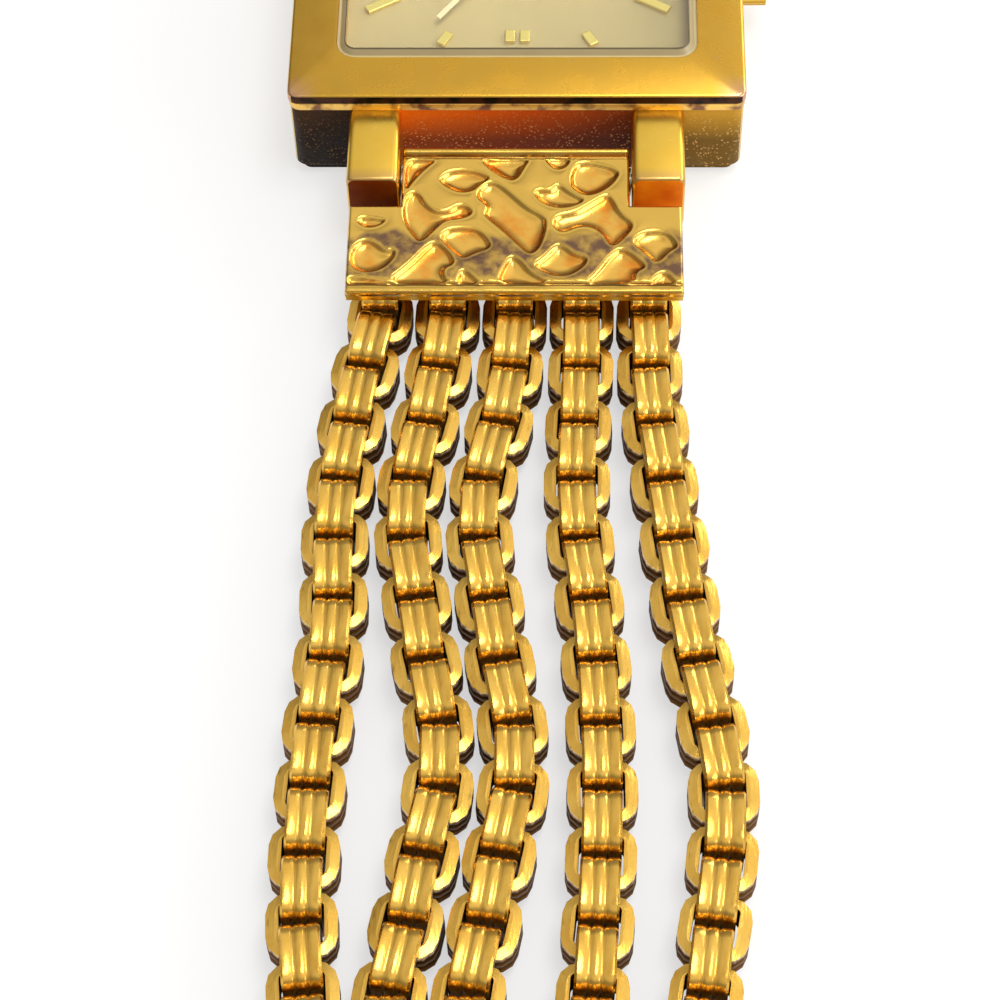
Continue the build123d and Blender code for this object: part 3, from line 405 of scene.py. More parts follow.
def stamped_gold_chain(add, shader, place, colours):
    """Plated stamped brass links: gold crowns with drawn streaks, and painted shade, dark brown, in the
    grooves and low down. The painted shade's edge is ragged: it follows the height plus a share of the
    grain.
    """
    set_inputs(shader, {"Coat Roughness": 0.15})
    fine, broad = satin_finish(add, shader, place, 0.3, 0.011, 0.15, 0.3, (1.8, 0.5, 1.0))
    z = add("SeparateXYZ", {0: place}, "Z")
    ragged = add("Math", {0: fine, 1: mm(0.7), 2: z}, operation="MULTIPLY_ADD")
    upright = add("Attribute", out="Fac", attribute_name="standing")
    # Painted shade: the rings darker below a ragged height, and in their grooves
    unshaded = add("MapRange", {0: upright, 3: mm(2.64), 4: mm(3.3)})
    fully_shaded = add("MapRange", {0: upright, 3: mm(2.4), 4: mm(2.0)})
    low = add("MapRange", {0: ragged, 1: fully_shaded, 2: unshaded, 3: 1.0, 4: 0.0})
    groove = add("Attribute", out="Fac", attribute_name="groove")
    painted_light = add("Math", {0: groove, 1: 0.42, 2: low}, operation="MULTIPLY_ADD", use_clamp=True)
    coat = add("MapRange", {0: painted_light, 1: 0.1, 2: 0.8, 3: 0.3, 4: 0.0})
    metal = add("MapRange", {0: painted_light, 1: 0.3, 3: 1.0, 4: 0.6})
    shine = add("MapRange", {0: painted_light, 1: 0.2, 3: 0.5, 4: 0.1})
    smooth = shader.inputs["Roughness"].links[0].from_socket
    dull = add("Math", {0: painted_light, 1: 0.25, 2: smooth}, operation="MULTIPLY_ADD")
    depth = add("MapRange", {0: broad, 1: 0.3, 2: 0.7})
    deep = toned(colours.chain, (0.84, 0.76, 0.55))
    gold = add("Mix", {0: depth, 6: colours.chain, 7: deep})
    colour = add("Mix", {0: painted_light, 6: gold, 7: colours.tarnish})
    set_inputs(shader, {
        "Base Color": colour, "Metallic": metal, "Roughness": dull, "Coat Weight": coat,
        "Specular IOR Level": shine,
    })


def cast_gold_relief(add, shader, place, colours):
    """Plated casting: pale gold lattice worn to grey near the rim, with richer gold left in the cells,
    and painted shade, dark brown, on the walls that face up and to the left and in the rail and lip
    grooves.
    """
    set_inputs(shader, {"Metallic": 1.0, "Coat Weight": 0.15, "Coat Roughness": 0.15})
    _, broad = satin_finish(add, shader, place, 0.2, 0.002, 0.16, 0.3)
    cell, wear, deposit = (
        add("Attribute", out="Fac", attribute_name=layer)
        for layer in ("cell", "wear", "deposit")
    )
    cloud = add("TexNoise", {"Vector": place, "Scale": per_mm(0.7), "Detail": 5.0})
    patch = add("MapRange", {0: cloud, 1: 0.36, 2: 0.6, 3: 0.35})
    gone = add("Math", {0: wear, 1: patch}, operation="MULTIPLY")
    lattice = add("Mix", {0: gone, 6: colours.relief, 7: colours.worn})
    orange = toned(colours.cell, (0.98, 0.62, 0.35))
    rich = add("MapRange", {0: broad, 1: 0.45, 2: 0.65})
    pool = add("Mix", {0: rich, 6: colours.cell, 7: orange})
    unshaded = add("Mix", {0: cell, 6: lattice, 7: pool})
    # Painted shade: dark brown on the walls and in the grooves
    painted_shade_colour = linear("#5A2C08")
    colour = add("Mix", {0: deposit, 6: unshaded, 7: painted_shade_colour})
    set_inputs(shader, {"Base Color": colour})


def pale_gilt_hands(add, shader, place, colours):
    """Pale gilt hands: nearly white where they catch the light."""
    set_inputs(shader, {"Metallic": 0.6})
    _, broad = satin_finish(add, shader, place, 0.1, 0.0005, 0.16, 0.24, (1.0, 0.2, 1.0))
    deep = toned(colours.hands, (0.9, 0.84, 0.7))
    colour = add("Mix", {0: broad, 6: colours.hands, 7: deep})
    set_inputs(shader, {"Base Color": colour})


def ground_crystal_edge(add, shader, place, colours):
    """Ground and filled edge of the crystal: a beige band that hides the seat, with a painted
    highlight, pale, along its foot and a painted shade line, dark, at the top where it meets the flat.
    """
    set_inputs(shader, {"Coat Weight": 0.25, "Coat Roughness": 0.15})
    _, broad = satin_finish(add, shader, place, 0.2, 0.001, 0.3, 0.45)
    z = add("SeparateXYZ", {0: place}, "Z")
    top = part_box("crystal")[1].z
    # Painted highlight: pale along the edge's foot
    foot = add("MapRange", {0: z, 1: top - mm(0.33), 2: top - mm(0.27), 3: 0.7, 4: 0.0})
    # Painted shade: a dark line at the top, where the edge meets the flat
    painted_shade_line = add("MapRange", {0: z, 1: top - mm(0.08), 2: top - mm(0.04), 4: 0.85})
    deep = toned(colours.edge, (0.82, 0.8, 0.74))
    beige = add("Mix", {0: broad, 6: colours.edge, 7: deep})
    lit = add("Mix", {0: foot, 6: beige, 7: linear("#F0E2A8")})
    colour = add("Mix", {0: painted_shade_line, 6: lit, 7: linear("#3E3418")})
    set_inputs(shader, {"Base Color": colour})


def polished_gilt(add, shader, place, colours):
    """Polished gilt markers: bright yellow gold with crisp highlights."""
    set_inputs(shader, {"Metallic": 1.0})
    satin_finish(add, shader, place, 0.1, 0.0005, 0.14, 0.22)
    tint = add("TexNoise", {"Vector": place, "Scale": per_mm(0.5), "Detail": 2.0})
    deep = toned(colours.applique, (0.95, 0.9, 0.7))
    colour = add("Mix", {0: tint, 6: colours.applique, 7: deep})
    set_inputs(shader, {"Base Color": colour})


def champagne_lacquer(add, shader, place, colours):
    """Lacquered champagne dial: metallic paint under clear lacquer, with a very fine even grain."""
    set_inputs(shader, {"Metallic": 0.1, "Coat Weight": 0.1, "Coat Roughness": 0.2})
    satin_finish(add, shader, place, 0.08, 0.0004, 0.42, 0.5)
    grain = add("TexNoise", {"Vector": place, "Scale": per_mm(0.08), "Detail": 2.0})
    wash = add("TexNoise", {"Vector": place, "Scale": per_mm(9.0), "Detail": 1.0})
    pale = tuple(min(1.0, level * 1.08) for level in colours.dial)
    dull = toned(colours.dial, (0.93, 0.92, 0.88))
    cloudy = add("MapRange", {0: wash, 1: 0.35, 2: 0.65})
    base = add("Mix", {0: cloudy, 6: pale, 7: dull})
    grainy = add("MapRange", {0: grain, 1: 0.3, 2: 0.7, 4: 0.3})
    colour = add("Mix", {0: grainy, 6: base, 7: dull})
    set_inputs(shader, {"Base Color": colour})


def mineral_glass(add, shader, place, colours):
    """Clear mineral glass: sharp reflections, and light let through to the dial without a shadow."""
    set_inputs(shader, {"Transmission Weight": 1.0, "IOR": 1.52, "Base Color": colours.glass})
    dust = add("TexNoise", {"Vector": place, "Scale": per_mm(3.0), "Detail": 2.0})
    rough = add("MapRange", {0: dust, 1: 0.4, 2: 0.7, 4: 0.02})
    set_inputs(shader, {"Roughness": rough})
    shadow = add("LightPath", out="Is Shadow Ray")
    clear = add("BsdfTransparent")
    both = add("MixShader", {0: shadow, 1: shader.outputs["BSDF"], 2: clear})
    set_inputs(shader.id_data.nodes["Material Output"], {"Surface": both})


def bench_material(name, colour, metallic, roughness, grain, depth, stretch=(1.0, 1.0, 1.0)):
    """A hidden or plain piece's finish: its colour clouded a little, with that grain as bump."""
    material, add, shader, place = start_material(name)
    _, broad = satin_finish(
        add, shader, place, grain, depth, roughness * 0.85, roughness * 1.15, stretch
    )
    base = linear(colour)
    shade = toned(base, (0.82, 0.82, 0.82))
    clouded = add("Mix", {0: broad, 6: base, 7: shade})
    set_inputs(shader, {"Base Color": clouded, "Metallic": metallic})
    return material


BENCH = {
    # Rolled and brushed stainless steel: grey with lines along X
    "brushed_steel": ("#B8B6B0", 1.0, 0.3, 0.06, 0.002, (0.08, 1.0, 1.0)),
    # Moulded acetal: milky and slightly glossy
    "moulded_acetal": ("#DCD8CC", 0.0, 0.42, 0.3, 0.002),
    # Stamped brass plates: pale yellow with a fine tumbled tooth
    "stamped_brass": ("#C8A968", 1.0, 0.34, 0.12, 0.002),
    # Enamelled copper wire: bands across the coil, one for each layer of turns
    "enamelled_copper": ("#B5683A", 0.8, 0.3, 0.09, 0.02, (1.0, 0.05, 0.05)),
    # Glass-epoxy board under green mask
    "green_solder_mask": ("#1F5A36", 0.0, 0.35, 0.2, 0.002),
    # Nitrile rubber: near black and matt
    "nitrile_rubber": ("#1C1B1A", 0.0, 0.6, 0.15, 0.003),
    # Ivory gasket round the crystal
    "ivory_gasket": ("#CFC09A", 0.0, 0.5, 0.2, 0.002),
}


def bench(name):
    """The named plain finish, made once."""
    return bpy.data.materials.get(name) or bench_material(name, *BENCH[name])


def finish(maker):
    """The material that has its maker's name, made once from the scene's colours."""
    name = maker.__name__
    if name not in bpy.data.materials:
        _, *parts = start_material(name)
        maker(*parts, bpy.context.scene.watch_colours)
    return bpy.data.materials[name]


def dress(node, material):
    """A CAD node whose shape is right keeps it and takes this material."""
    mesh = frame["nodes"][node].data
    mesh.materials.clear()
    mesh.materials.append(material)


def record_of(node):
    """The material slot and the body that the record gives a CAD node."""
    slot = next(s["material_slot"] for s in frame["record"]["subparts"] if s["node"] == node)
    return slot, frame["nodes"][node]["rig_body"]


def go_with(piece, node):
    """The piece rides on a CAD node's body."""
    slot, body = record_of(node)
    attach(piece, body)


def stand_for(piece, node):
    """The piece goes with a CAD node and replaces it."""
    go_with(piece, node)
    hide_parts(node)


def add_object(name, data):
    """A new object in the scene."""
    thing = bpy.data.objects.new(name, data)
    bpy.context.scene.collection.objects.link(thing)
    return thing


def softened(node, name, edge, materials, pick=None):
    """A merged copy of a CAD node with its edges rounded, if an edge size is given.

    pick gives each face's material from its centre in millimetres and its normal.
    """
    mesh = frame["nodes"][node].data.copy()
    mesh.name = name
    mesh.materials.clear()
    for material in materials:
        mesh.materials.append(material)
    work = bmesh.new()
    work.from_mesh(mesh)
    bmesh.ops.remove_doubles(work, verts=work.verts, dist=mm(0.002))
    if edge:
        bmesh.ops.dissolve_limit(
            work, angle_limit=math.radians(0.6), verts=work.verts, edges=work.edges
        )
    for face in work.faces:
        face.smooth = True
        face.material_index = pick(face.calc_center_median() / MM, face.normal) if pick else 0
    work.to_mesh(mesh)
    work.free()
    mesh.set_sharp_from_angle(angle=math.radians(HARD_ANGLE))
    piece = add_object(name, mesh)
    if edge:
        bevel = piece.modifiers.new("soft_edges", "BEVEL")
        bevel.width = edge
        bevel.segments = 2
        bevel.limit_method = "ANGLE"
        bevel.angle_limit = math.radians(HARD_ANGLE)
        bevel.harden_normals = True
    stand_for(piece, node)
    return piece


def surface_piece(name, shape, materials, pick=None, sharp=None):
    """A closed surface from a shape: points in millimetres, lists of corners, and layers of values.

    pick gives each face's material from its centre and normal, and sharp is the angle in degrees
    above which an edge stays hard. The sum over the faces of a corner fan's triple products is six
    times the enclosed volume: if it is negative the faces are wound the other way.
    """
    points, faces, layers = shape
    fans = [(f[0], f[i], f[i + 1]) for f in faces for i in range(1, len(f) - 1)]
    a, b, c = points[np.array(fans).T]
    if np.einsum("ij,ij->", a, np.cross(b, c)) < 0:
        faces = [f[::-1] for f in faces]
    mesh = bpy.data.meshes.new(name)
    mesh.from_pydata((points * MM).tolist(), [], faces)
    for key, values in layers.items():
        layer = mesh.attributes.new(key, "FLOAT", "POINT")
        layer.data.foreach_set("value", np.asarray(values, np.float32).ravel())
    mesh.polygons.foreach_set("use_smooth", np.ones(len(mesh.polygons), bool))
    for material in materials:
        mesh.materials.append(material)
    if pick:
        for polygon in mesh.polygons:
            polygon.material_index = pick(polygon.center / MM, polygon.normal)
    if sharp:
        mesh.set_sharp_from_angle(angle=math.radians(sharp))
    piece = add_object(name, mesh)
    return piece


def corner_normals(steps):
    """Unit directions round four corner arcs, that many to each."""
    angles = np.radians(np.concatenate([q * 90 + np.linspace(0, 90, steps) for q in range(4)]))
    return np.stack([np.cos(angles), np.sin(angles)], -1)


def rounded_rectangle(half_x, half_y, radius, steps=CORNER_POINTS):
    """Points round a rectangle with round corners: each is a corner arc's centre + radius x normal."""
    signs = np.repeat([(1, 1), (-1, 1), (-1, -1), (1, -1)], steps, axis=0)
    return signs * (half_x - radius, half_y - radius) + radius * corner_normals(steps)


def grid_faces(rows, columns, is_ring=True):
    """Faces between the points of a grid that is closed across, and along too if it is a ring."""
    i, j = np.meshgrid(np.arange(rows if is_ring else rows - 1), np.arange(columns), indexing="ij")
    up, beside = (i + 1) % rows, (j + 1) % columns
    faces = [i * columns + j, i * columns + beside, up * columns + beside, up * columns + j]
    return np.stack(faces, -1).reshape(-1, 4)


def loft(sections, is_ring):
    """A surface through rounded rectangles, each given as half x, half y, corner radius and z.

    A ring's last section meets its first. Otherwise the two end sections are closed with a face.
    """
    rows, columns = len(sections), 4 * CORNER_POINTS
    points = np.concatenate([
        np.column_stack([rounded_rectangle(*outline), np.full(columns, height)])
        for *outline, height in sections
    ])
    faces = grid_faces(rows, columns, is_ring).tolist()
    if not is_ring:
        last = (rows - 1) * columns
        faces += [list(range(columns))[::-1], list(range(last, last + columns))]
    return points, faces, {}


# Relief of the end pieces: outlines of the sunk cells, in millimetres, on the 6 o'clock side
RELIEF_CELLS = {
    "corner_pool": [(-5.8, -13.5), (-4.1, -13.5), (-4.7, -14.1), (-5.3, -14.9), (-5.7, -15.7)],
    "first_valley": [
        (-1.9, -13.4), (0.7, -13.4), (0.4, -14.0), (0.0, -14.9), (-0.5, -14.8), (-1.3, -14.2),
    ],
    "second_valley": [(1.5, -13.4), (2.8, -13.4), (2.6, -14.0), (2.1, -14.2), (1.7, -13.8)],
    "right_pool": [
        (3.1, -13.8), (3.9, -13.7), (5.4, -14.2), (5.0, -15.1), (4.3, -15.7), (3.6, -15.9),
        (2.9, -15.4), (2.8, -14.6),
    ],
    "upper_leaf": [
        (-4.0, -14.9), (-3.6, -14.4), (-2.9, -14.2), (-2.0, -14.3), (-1.3, -14.7), (-1.8, -15.2),
        (-2.4, -15.7), (-3.2, -15.6),
    ],
    "left_horn": [
        (-5.8, -16.4), (-5.4, -15.7), (-5.0, -15.7), (-4.6, -16.5), (-4.0, -17.0), (-3.4, -16.9),
        (-2.9, -16.5), (-2.4, -16.6), (-2.2, -17.1), (-2.7, -17.4), (-3.6, -17.5), (-4.1, -18.1),
        (-4.8, -19.0), (-5.2, -18.5), (-5.7, -17.6),
    ],
    "long_scroll": [
        (-2.0, -16.0), (-1.9, -15.4), (-1.4, -15.0), (-0.9, -15.1), (-0.2, -15.8), (0.6, -16.7),
        (1.4, -17.2), (1.6, -17.7), (1.4, -18.8), (1.1, -19.5), (0.7, -19.7), (0.1, -19.0),
        (-0.6, -18.2), (-1.3, -17.5), (-1.6, -17.1), (-1.4, -16.6),
    ],
    "lower_leaf": [
        (0.9, -15.7), (1.3, -15.5), (1.8, -15.6), (2.2, -15.1), (2.8, -15.7), (3.6, -16.2),
        (2.9, -16.6), (2.2, -16.7), (1.4, -16.4),
    ],
    "right_horn": [
        (1.9, -17.6), (2.2, -17.2), (3.1, -17.0), (3.9, -16.4), (4.7, -15.8), (5.0, -16.2),
        (5.3, -17.0), (6.1, -17.8), (5.5, -18.7), (5.0, -19.2), (4.7, -18.9), (4.4, -18.3),
        (3.9, -17.9), (3.2, -17.9), (2.5, -18.3), (2.1, -18.1),
    ],
    "first_cup": [
        (-8.4, -20.0), (-8.2, -19.2), (-7.7, -18.8), (-7.2, -18.9), (-6.6, -19.5), (-6.1, -19.4),
        (-6.1, -19.9), (-6.6, -20.6), (-7.4, -20.9), (-8.1, -20.7),
    ],
    "second_cup": [
        (-3.9, -18.6), (-3.4, -18.1), (-2.7, -18.0), (-1.9, -18.1), (-1.4, -18.7), (-1.2, -19.3),
        (-2.0, -19.6), (-2.6, -20.0), (-3.1, -19.6),
    ],
    "third_cup": [
        (0.9, -20.4), (1.5, -19.9), (2.1, -19.1), (2.5, -19.2), (3.0, -19.7), (3.7, -19.9),
        (3.5, -20.5), (2.7, -21.1), (1.7, -21.0),
    ],
    "fourth_cup": [
        (5.9, -18.9), (6.5, -18.3), (7.3, -18.2), (7.9, -18.4), (8.3, -19.2), (7.8, -19.5),
        (7.2, -20.3), (6.7, -19.7),
    ],
    "first_wave": [
        (-6.6, -21.6), (-5.3, -20.3), (-4.5, -19.2), (-4.0, -18.9), (-3.4, -19.4), (-3.0, -20.3),
        (-3.6, -20.6), (-3.6, -21.1), (-3.2, -21.6),
    ],
    "second_wave": [
        (-0.9, -21.6), (-0.6, -20.6), (-0.2, -19.8), (0.3, -20.1), (0.8, -20.9), (2.0, -21.6),
    ],
    "third_wave": [
        (3.5, -21.6), (4.2, -20.8), (4.8, -19.8), (5.4, -19.3), (6.0, -19.7), (6.7, -20.5),
        (6.1, -20.8), (6.0, -21.6),
    ],
    "left_bud": [(-2.9, -21.6), (-2.8, -20.9), (-2.5, -20.7), (-2.0, -21.2), (-1.7, -21.6)],
    "right_bud": [(6.8, -21.6), (7.1, -21.1), (7.6, -20.8), (8.0, -21.2), (8.2, -21.6)],
    "shoulder_leaf": [
        (-8.1, -17.6), (-7.8, -17.3), (-7.1, -17.4), (-6.6, -17.5), (-7.0, -17.9), (-7.6, -18.0),
    ],
    "foot_pool": [(-8.4, -21.2), (-7.8, -21.2), (-6.6, -21.4), (-6.4, -21.6), (-8.4, -21.6)],
}

# The relief's profile, in millimetres but for the shares of the cells' depth: the steep wall and its
# share, the bowl's reach, the lattice's fall at a cell and its reach, and the low rim
CELL_WALL = 0.17
WALL_SHARE = 0.55
BOWL_REACH = 0.6
SHOULDER_FALL = 0.3
SHOULDER_REACH = 0.2
RIM_PLACE = 0.08
RIM_WIDTH = 0.075
RIM_SHARE = 0.12
MASK_WIDTH = 0.12

# Grooves along the rail at the strands and the lip at the case: Y, half width and share of the depth
RAIL_GROOVE_Y = -21.6
RAIL_GROOVE_HALF = 0.1
RAIL_GROOVE_SHARE = 0.6
LIP_GROOVE_Y = -13.28
LIP_GROOVE_HALF = 0.16
LIP_GROOVE_SHARE = 0.9

# The relief pieces' edge, plan and wear: the plating has gone below the shore
EDGE_ROUND = 0.16
SHOULDER_Y = -16.6
TONGUE_HALF = 5.86
END_BAR_LENGTH = 4.6
WEAR_SHORE = -18.2
WEAR_FOOT = -21.4
# Gain of the painted shade on the walls that face up and to the left
WALL_SHADE_GAIN = 0.5


def smooth_outline(points, rounds=2):
    """A closed outline whose sides keep their middle halves, which cuts its corners, in each round."""
    outline = np.array(points, float)
    for _ in range(rounds):
        after = np.roll(outline, -1, axis=0)
        outline = np.stack([0.75 * outline + 0.25 * after, 0.25 * outline + 0.75 * after], 1)
        outline = outline.reshape(-1, 2)
    return outline


def depth_inside(x, y, outline):
    """How far each point lies inside a closed outline, and less than zero outside.

    The distance is the least over the outline's sides, and a point is inside if a line from it
    towards +X crosses the sides an odd number of times.
    """
    ax, ay = outline.T
    bx, by = np.roll(outline, -1, axis=0).T
    px, py = x.ravel()[:, None], y.ravel()[:, None]
    dx, dy = bx - ax, by - ay
    t = np.clip(((px - ax) * dx + (py - ay) * dy) / (dx * dx + dy * dy + 1e-12), 0, 1)
    gap = np.hypot(px - ax - t * dx, py - ay - t * dy).min(1)
    crossing = (ay > py) != (by > py)
    slope = np.where(by == ay, 1e-12, by - ay)
    to_right = px < ax + (py - ay) * dx / slope
    inside = (crossing & to_right).sum(1) % 2 == 1
    return np.where(inside, gap, -gap).reshape(x.shape)


def smooth_step(value):
    """0 below 0, 1 above 1, and a smooth rise between."""
    t = np.clip(value, 0, 1)
    return t * t * (3 - 2 * t)


def relief_height(x, y):
    """Depth of the relief below its top as a share of the cells' depth, and masks: cells, rims, painted
    shade in the grooves.

    A cell's share = WALL_SHARE x a steep smooth wall + the rest x a bowl that flattens over
    BOWL_REACH. Outside it the lattice is domed: it falls towards the cell by SHOULDER_FALL, less
    with distance over SHOULDER_REACH. On that stands a low rim, a bell curve of the distance to the
    outline.
    """
    deep, cell, rim = np.zeros_like(x), np.zeros_like(x), np.zeros_like(x)
    for outline in RELIEF_CELLS.values():
        inside = depth_inside(x, y, smooth_outline(outline))
        bowl = 1 - (1 - np.clip(inside / BOWL_REACH, 0, 1)) ** 2
        wall = smooth_step(inside / CELL_WALL + 0.2)
        deep = np.maximum(deep, WALL_SHARE * wall + (1 - WALL_SHARE) * bowl)
        cell = np.maximum(cell, smooth_step(inside / MASK_WIDTH + 0.3))
        rim = np.maximum(rim, np.exp(-((inside + RIM_PLACE) / RIM_WIDTH) ** 2))
        deep = np.maximum(deep, SHOULDER_FALL * np.exp(np.minimum(inside, 0) / SHOULDER_REACH))
    rail = smooth_step(1.4 - np.abs(y - RAIL_GROOVE_Y) / RAIL_GROOVE_HALF)
    lip = smooth_step(1.4 - np.abs(y - LIP_GROOVE_Y) / LIP_GROOVE_HALF)
    share = np.maximum.reduce([deep, RAIL_GROOVE_SHARE * rail, LIP_GROOVE_SHARE * lip])
    cell = np.maximum.reduce([cell, 0.5 * rail, 0.6 * lip])
    # The last mask is painted shade in the rail and lip grooves
    return share - RIM_SHARE * rim, cell, rim, np.maximum(0.6 * rail, 0.5 * lip)


def relief_slab(outline, bottom, settings):
    """A closed slab of that outline whose top is the relief: z is a function of x and y on a grid.

    Top height = relief top - depth share x cell depth - a quarter round of EDGE_ROUND at the outline.
    The sides stand on the top's edges that belong to one face only. Walls that face up and to the
    left are painted dark as shade: that layer is the height's slope that way x the wall shade gain,
    joined by the painted shade in the grooves. The plating has gone from the lattice between the
    shore, a wavy line, and WEAR_FOOT.
    """
    step = settings.relief_step / MM
    outline = np.array(outline, float)
    (x_low, y_low), (x_high, y_high) = outline.min(0), outline.max(0)
    nx, ny = int((x_high - x_low) / step) + 1, int((y_high - y_low) / step) + 1
    x, y = np.meshgrid(np.linspace(x_low, x_high, nx), np.linspace(y_low, y_high, ny))
    share, cell, rim, groove_shade = relief_height(x, y)
    rise_y, rise_x = np.gradient(share, step)
    # Painted shade on the walls that face up and to the left
    wall_shade = np.clip((0.85 * rise_y - 0.5 * rise_x) * WALL_SHADE_GAIN, 0, 0.8)
    inward = np.clip(1 - np.maximum(depth_inside(x, y, outline), 0) / EDGE_ROUND, 0, 1)
    fall = EDGE_ROUND * (1 - np.sqrt(1 - inward ** 2 * 0.96))
    z = settings.relief_top / MM - share * settings.relief_depth / MM - fall
    top = np.stack([x, y, z], -1).reshape(-1, 3)
    index = np.arange(nx * ny).reshape(ny, nx)
    quads = np.stack([index[:-1, :-1], index[:-1, 1:], index[1:, 1:], index[1:, :-1]], -1)
    quads = quads.reshape(-1, 4)
    centre = top[quads].mean(1)
    quads = quads[depth_inside(centre[:, 0], centre[:, 1], outline) > 0]
    edges = np.concatenate([quads[:, [k, (k + 1) % 4]] for k in range(4)])
    count = nx * ny
    single = edges[~np.isin(edges[:, 0] * count + edges[:, 1], edges[:, 1] * count + edges[:, 0])]
    sides = np.column_stack([single[:, ::-1], single + count])
    faces = np.concatenate([quads, quads[:, ::-1] + count, sides])
    under = top * (1, 1, 0) + (0, 0, bottom)
    used, faces = np.unique(faces, return_inverse=True)
    points = np.concatenate([top, under])[used]
    shore = WEAR_SHORE + 0.22 * np.sin(1.7 * x) + 0.12 * np.sin(4.1 * x + 1)
    worn = smooth_step((shore - y) / 0.5) * smooth_step((y - WEAR_FOOT) / 0.3)
    worn = worn * (1 - cell) * (1 - 0.8 * rim)
    layers = {
        "wear": np.concatenate([worn.ravel(), worn.ravel() * 0])[used],
        "cell": np.concatenate([cell.ravel(), cell.ravel() * 0])[used],
        "deposit": np.tile(np.maximum(wall_shade, groove_shade).ravel(), 2)[used],
    }
    return points, faces.reshape(-1, 4).tolist(), layers


def joined(parts):
    """Several closed surfaces as one set of points, faces and attributes."""
    points, faces, layers = [], [], {}
    count = 0
    for part_points, part_faces, part_layers in parts:
        points.append(part_points)
        faces += [[i + count for i in face] for face in part_faces]
        count += len(part_points)
        for key, values in part_layers.items():
            layers.setdefault(key, []).append(values)
    return np.concatenate(points), faces, {k: np.concatenate(v) for k, v in layers.items()}


# Where the five strands run on the 6 o'clock side: distance past the first link, X
STRAND_ROUTES = [
    [(0, -6.8), (1.7, -6.84), (3.4, -7.12), (6.8, -7.78), (13.6, -8.5), (20.3, -8.44),
     (27.1, -8.97), (33.9, -9.13), (40.7, -8.67), (47.5, -7.6), (52.5, -6.84), (54.3, -6.8)],
    [(0, -3.36), (1.7, -3.41), (3.4, -3.55), (6.8, -4.07), (13.6, -5.05), (20.3, -4.2),
     (27.1, -3.12), (33.9, -4.1), (40.7, -5.18), (47.5, -4.1), (52.5, -3.4), (54.3, -3.38)],
    [(0, 0.0), (1.7, 0.0), (3.4, -0.05), (6.8, -0.4), (13.6, -1.55), (20.3, -0.72),
     (27.1, 0.33), (33.9, -0.6), (40.7, -1.7), (47.5, -0.7), (52.5, 0.0), (54.3, 0.0)],
    [(0, 3.4), (1.7, 3.4), (3.4, 3.4), (6.8, 3.31), (13.6, 3.22), (20.3, 3.95),
     (27.1, 4.35), (33.9, 4.23), (40.7, 3.78), (47.5, 3.4), (52.5, 3.4), (54.3, 3.4)],
    [(0, 6.8), (1.7, 6.8), (3.4, 6.8), (6.8, 6.9), (13.6, 7.67), (20.3, 8.57),
     (27.1, 9.76), (30.0, 9.93), (33.9, 9.55), (40.7, 8.6), (47.5, 7.4), (52.5, 6.82), (54.3, 6.8)],
]


# Where a ring's bevel starts, as a share of half its band
LYING_SHOULDER = 0.84
STANDING_SHOULDER = 0.88

# Spread of the rings' sway about X, Y and Z, and the profile's columns that are hard edges
SWAY_DEGREES = (0.5, 1.3, 0.9)
SHARP_COLUMNS = (0, 1, 8, 9, 10, 11)


def route_places(route, distances):
    """X and slope of a strand at these distances, on a smooth curve through the route's points.

    Between two points the curve is the cubic with their X and, at each, the slope of the line
    through its two neighbours.
    """
    at, x = np.array(route, float).T
    before, after = np.r_[0, np.arange(len(at) - 1)], np.r_[np.arange(1, len(at)), len(at) - 1]
    slopes = (x[after] - x[before]) / (at[after] - at[before])
    i = np.clip(np.searchsorted(at, distances, side="right") - 1, 0, len(at) - 2)
    span = at[i + 1] - at[i]
    t = (distances - at[i]) / span
    place = (
        (1 + 2 * t) * (1 - t) ** 2 * x[i] + t * (1 - t) ** 2 * span * slopes[i]
        + t * t * (3 - 2 * t) * x[i + 1] + t * t * (t - 1) * span * slopes[i + 1]
    )
    slope = (
        6 * t * (t - 1) * (x[i] - x[i + 1]) / span + (1 - t) * (1 - 3 * t) * slopes[i]
        + t * (3 * t - 2) * slopes[i + 1]
    )
    return place, slope


def ring_shape(chain, corner, bar, band, bevel, shoulder):
    """One ring lying flat: a ridged band carried round a rounded rectangle.

    Each point = corner arc's centre + (corner + height) x normal, with the band's profile giving
    its height over the path and its place across the band. Heights: a bevel at both edges, three
    flat ridges, two grooves between them. The inner face is one bar's thickness inside, with its
    own corner radius. The places across are shares of half the band: the bevel's start, the side
    ridge's inner edge, the groove's bottom and the middle ridge's edge.
    """
    width, length, band, groove, corner, bar, bevel, eye = (
        value / MM for value in
        (chain.width, chain.length, band, chain.groove, corner, bar, bevel, chain.eye)
    )
    outer = rounded_rectangle(width / 2, length / 2, corner, RING_CORNER_POINTS)
    normals = corner_normals(RING_CORNER_POINTS)
    across = np.array([shoulder, 0.42, 0.31, 0.2])
    across = np.concatenate([[-1], -across, across[::-1], [1, 1, -1]]) * band / 2
    height = -np.array([bevel, 0, 0, groove, 0, 0, groove, 0, 0, bevel, bar, bar])
    hollow = np.array([0.2, 0, 0, 1, 0, 0, 1, 0, 0, 0.2, 1, 1])
    flat = outer[:, None] + height[None, :, None] * normals[:, None]
    opening = rounded_rectangle(width / 2 - bar, length / 2 - bar, eye, RING_CORNER_POINTS)
    flat[:, -2:] = opening[:, None]
    points = np.dstack([flat, np.broadcast_to(across, flat.shape[:2])])
    rows, columns = points.shape[:2]
    faces = grid_faces(rows, columns)[:, [0, 3, 2, 1]]
    return points.reshape(-1, 3), faces, np.tile(hollow, rows), columns


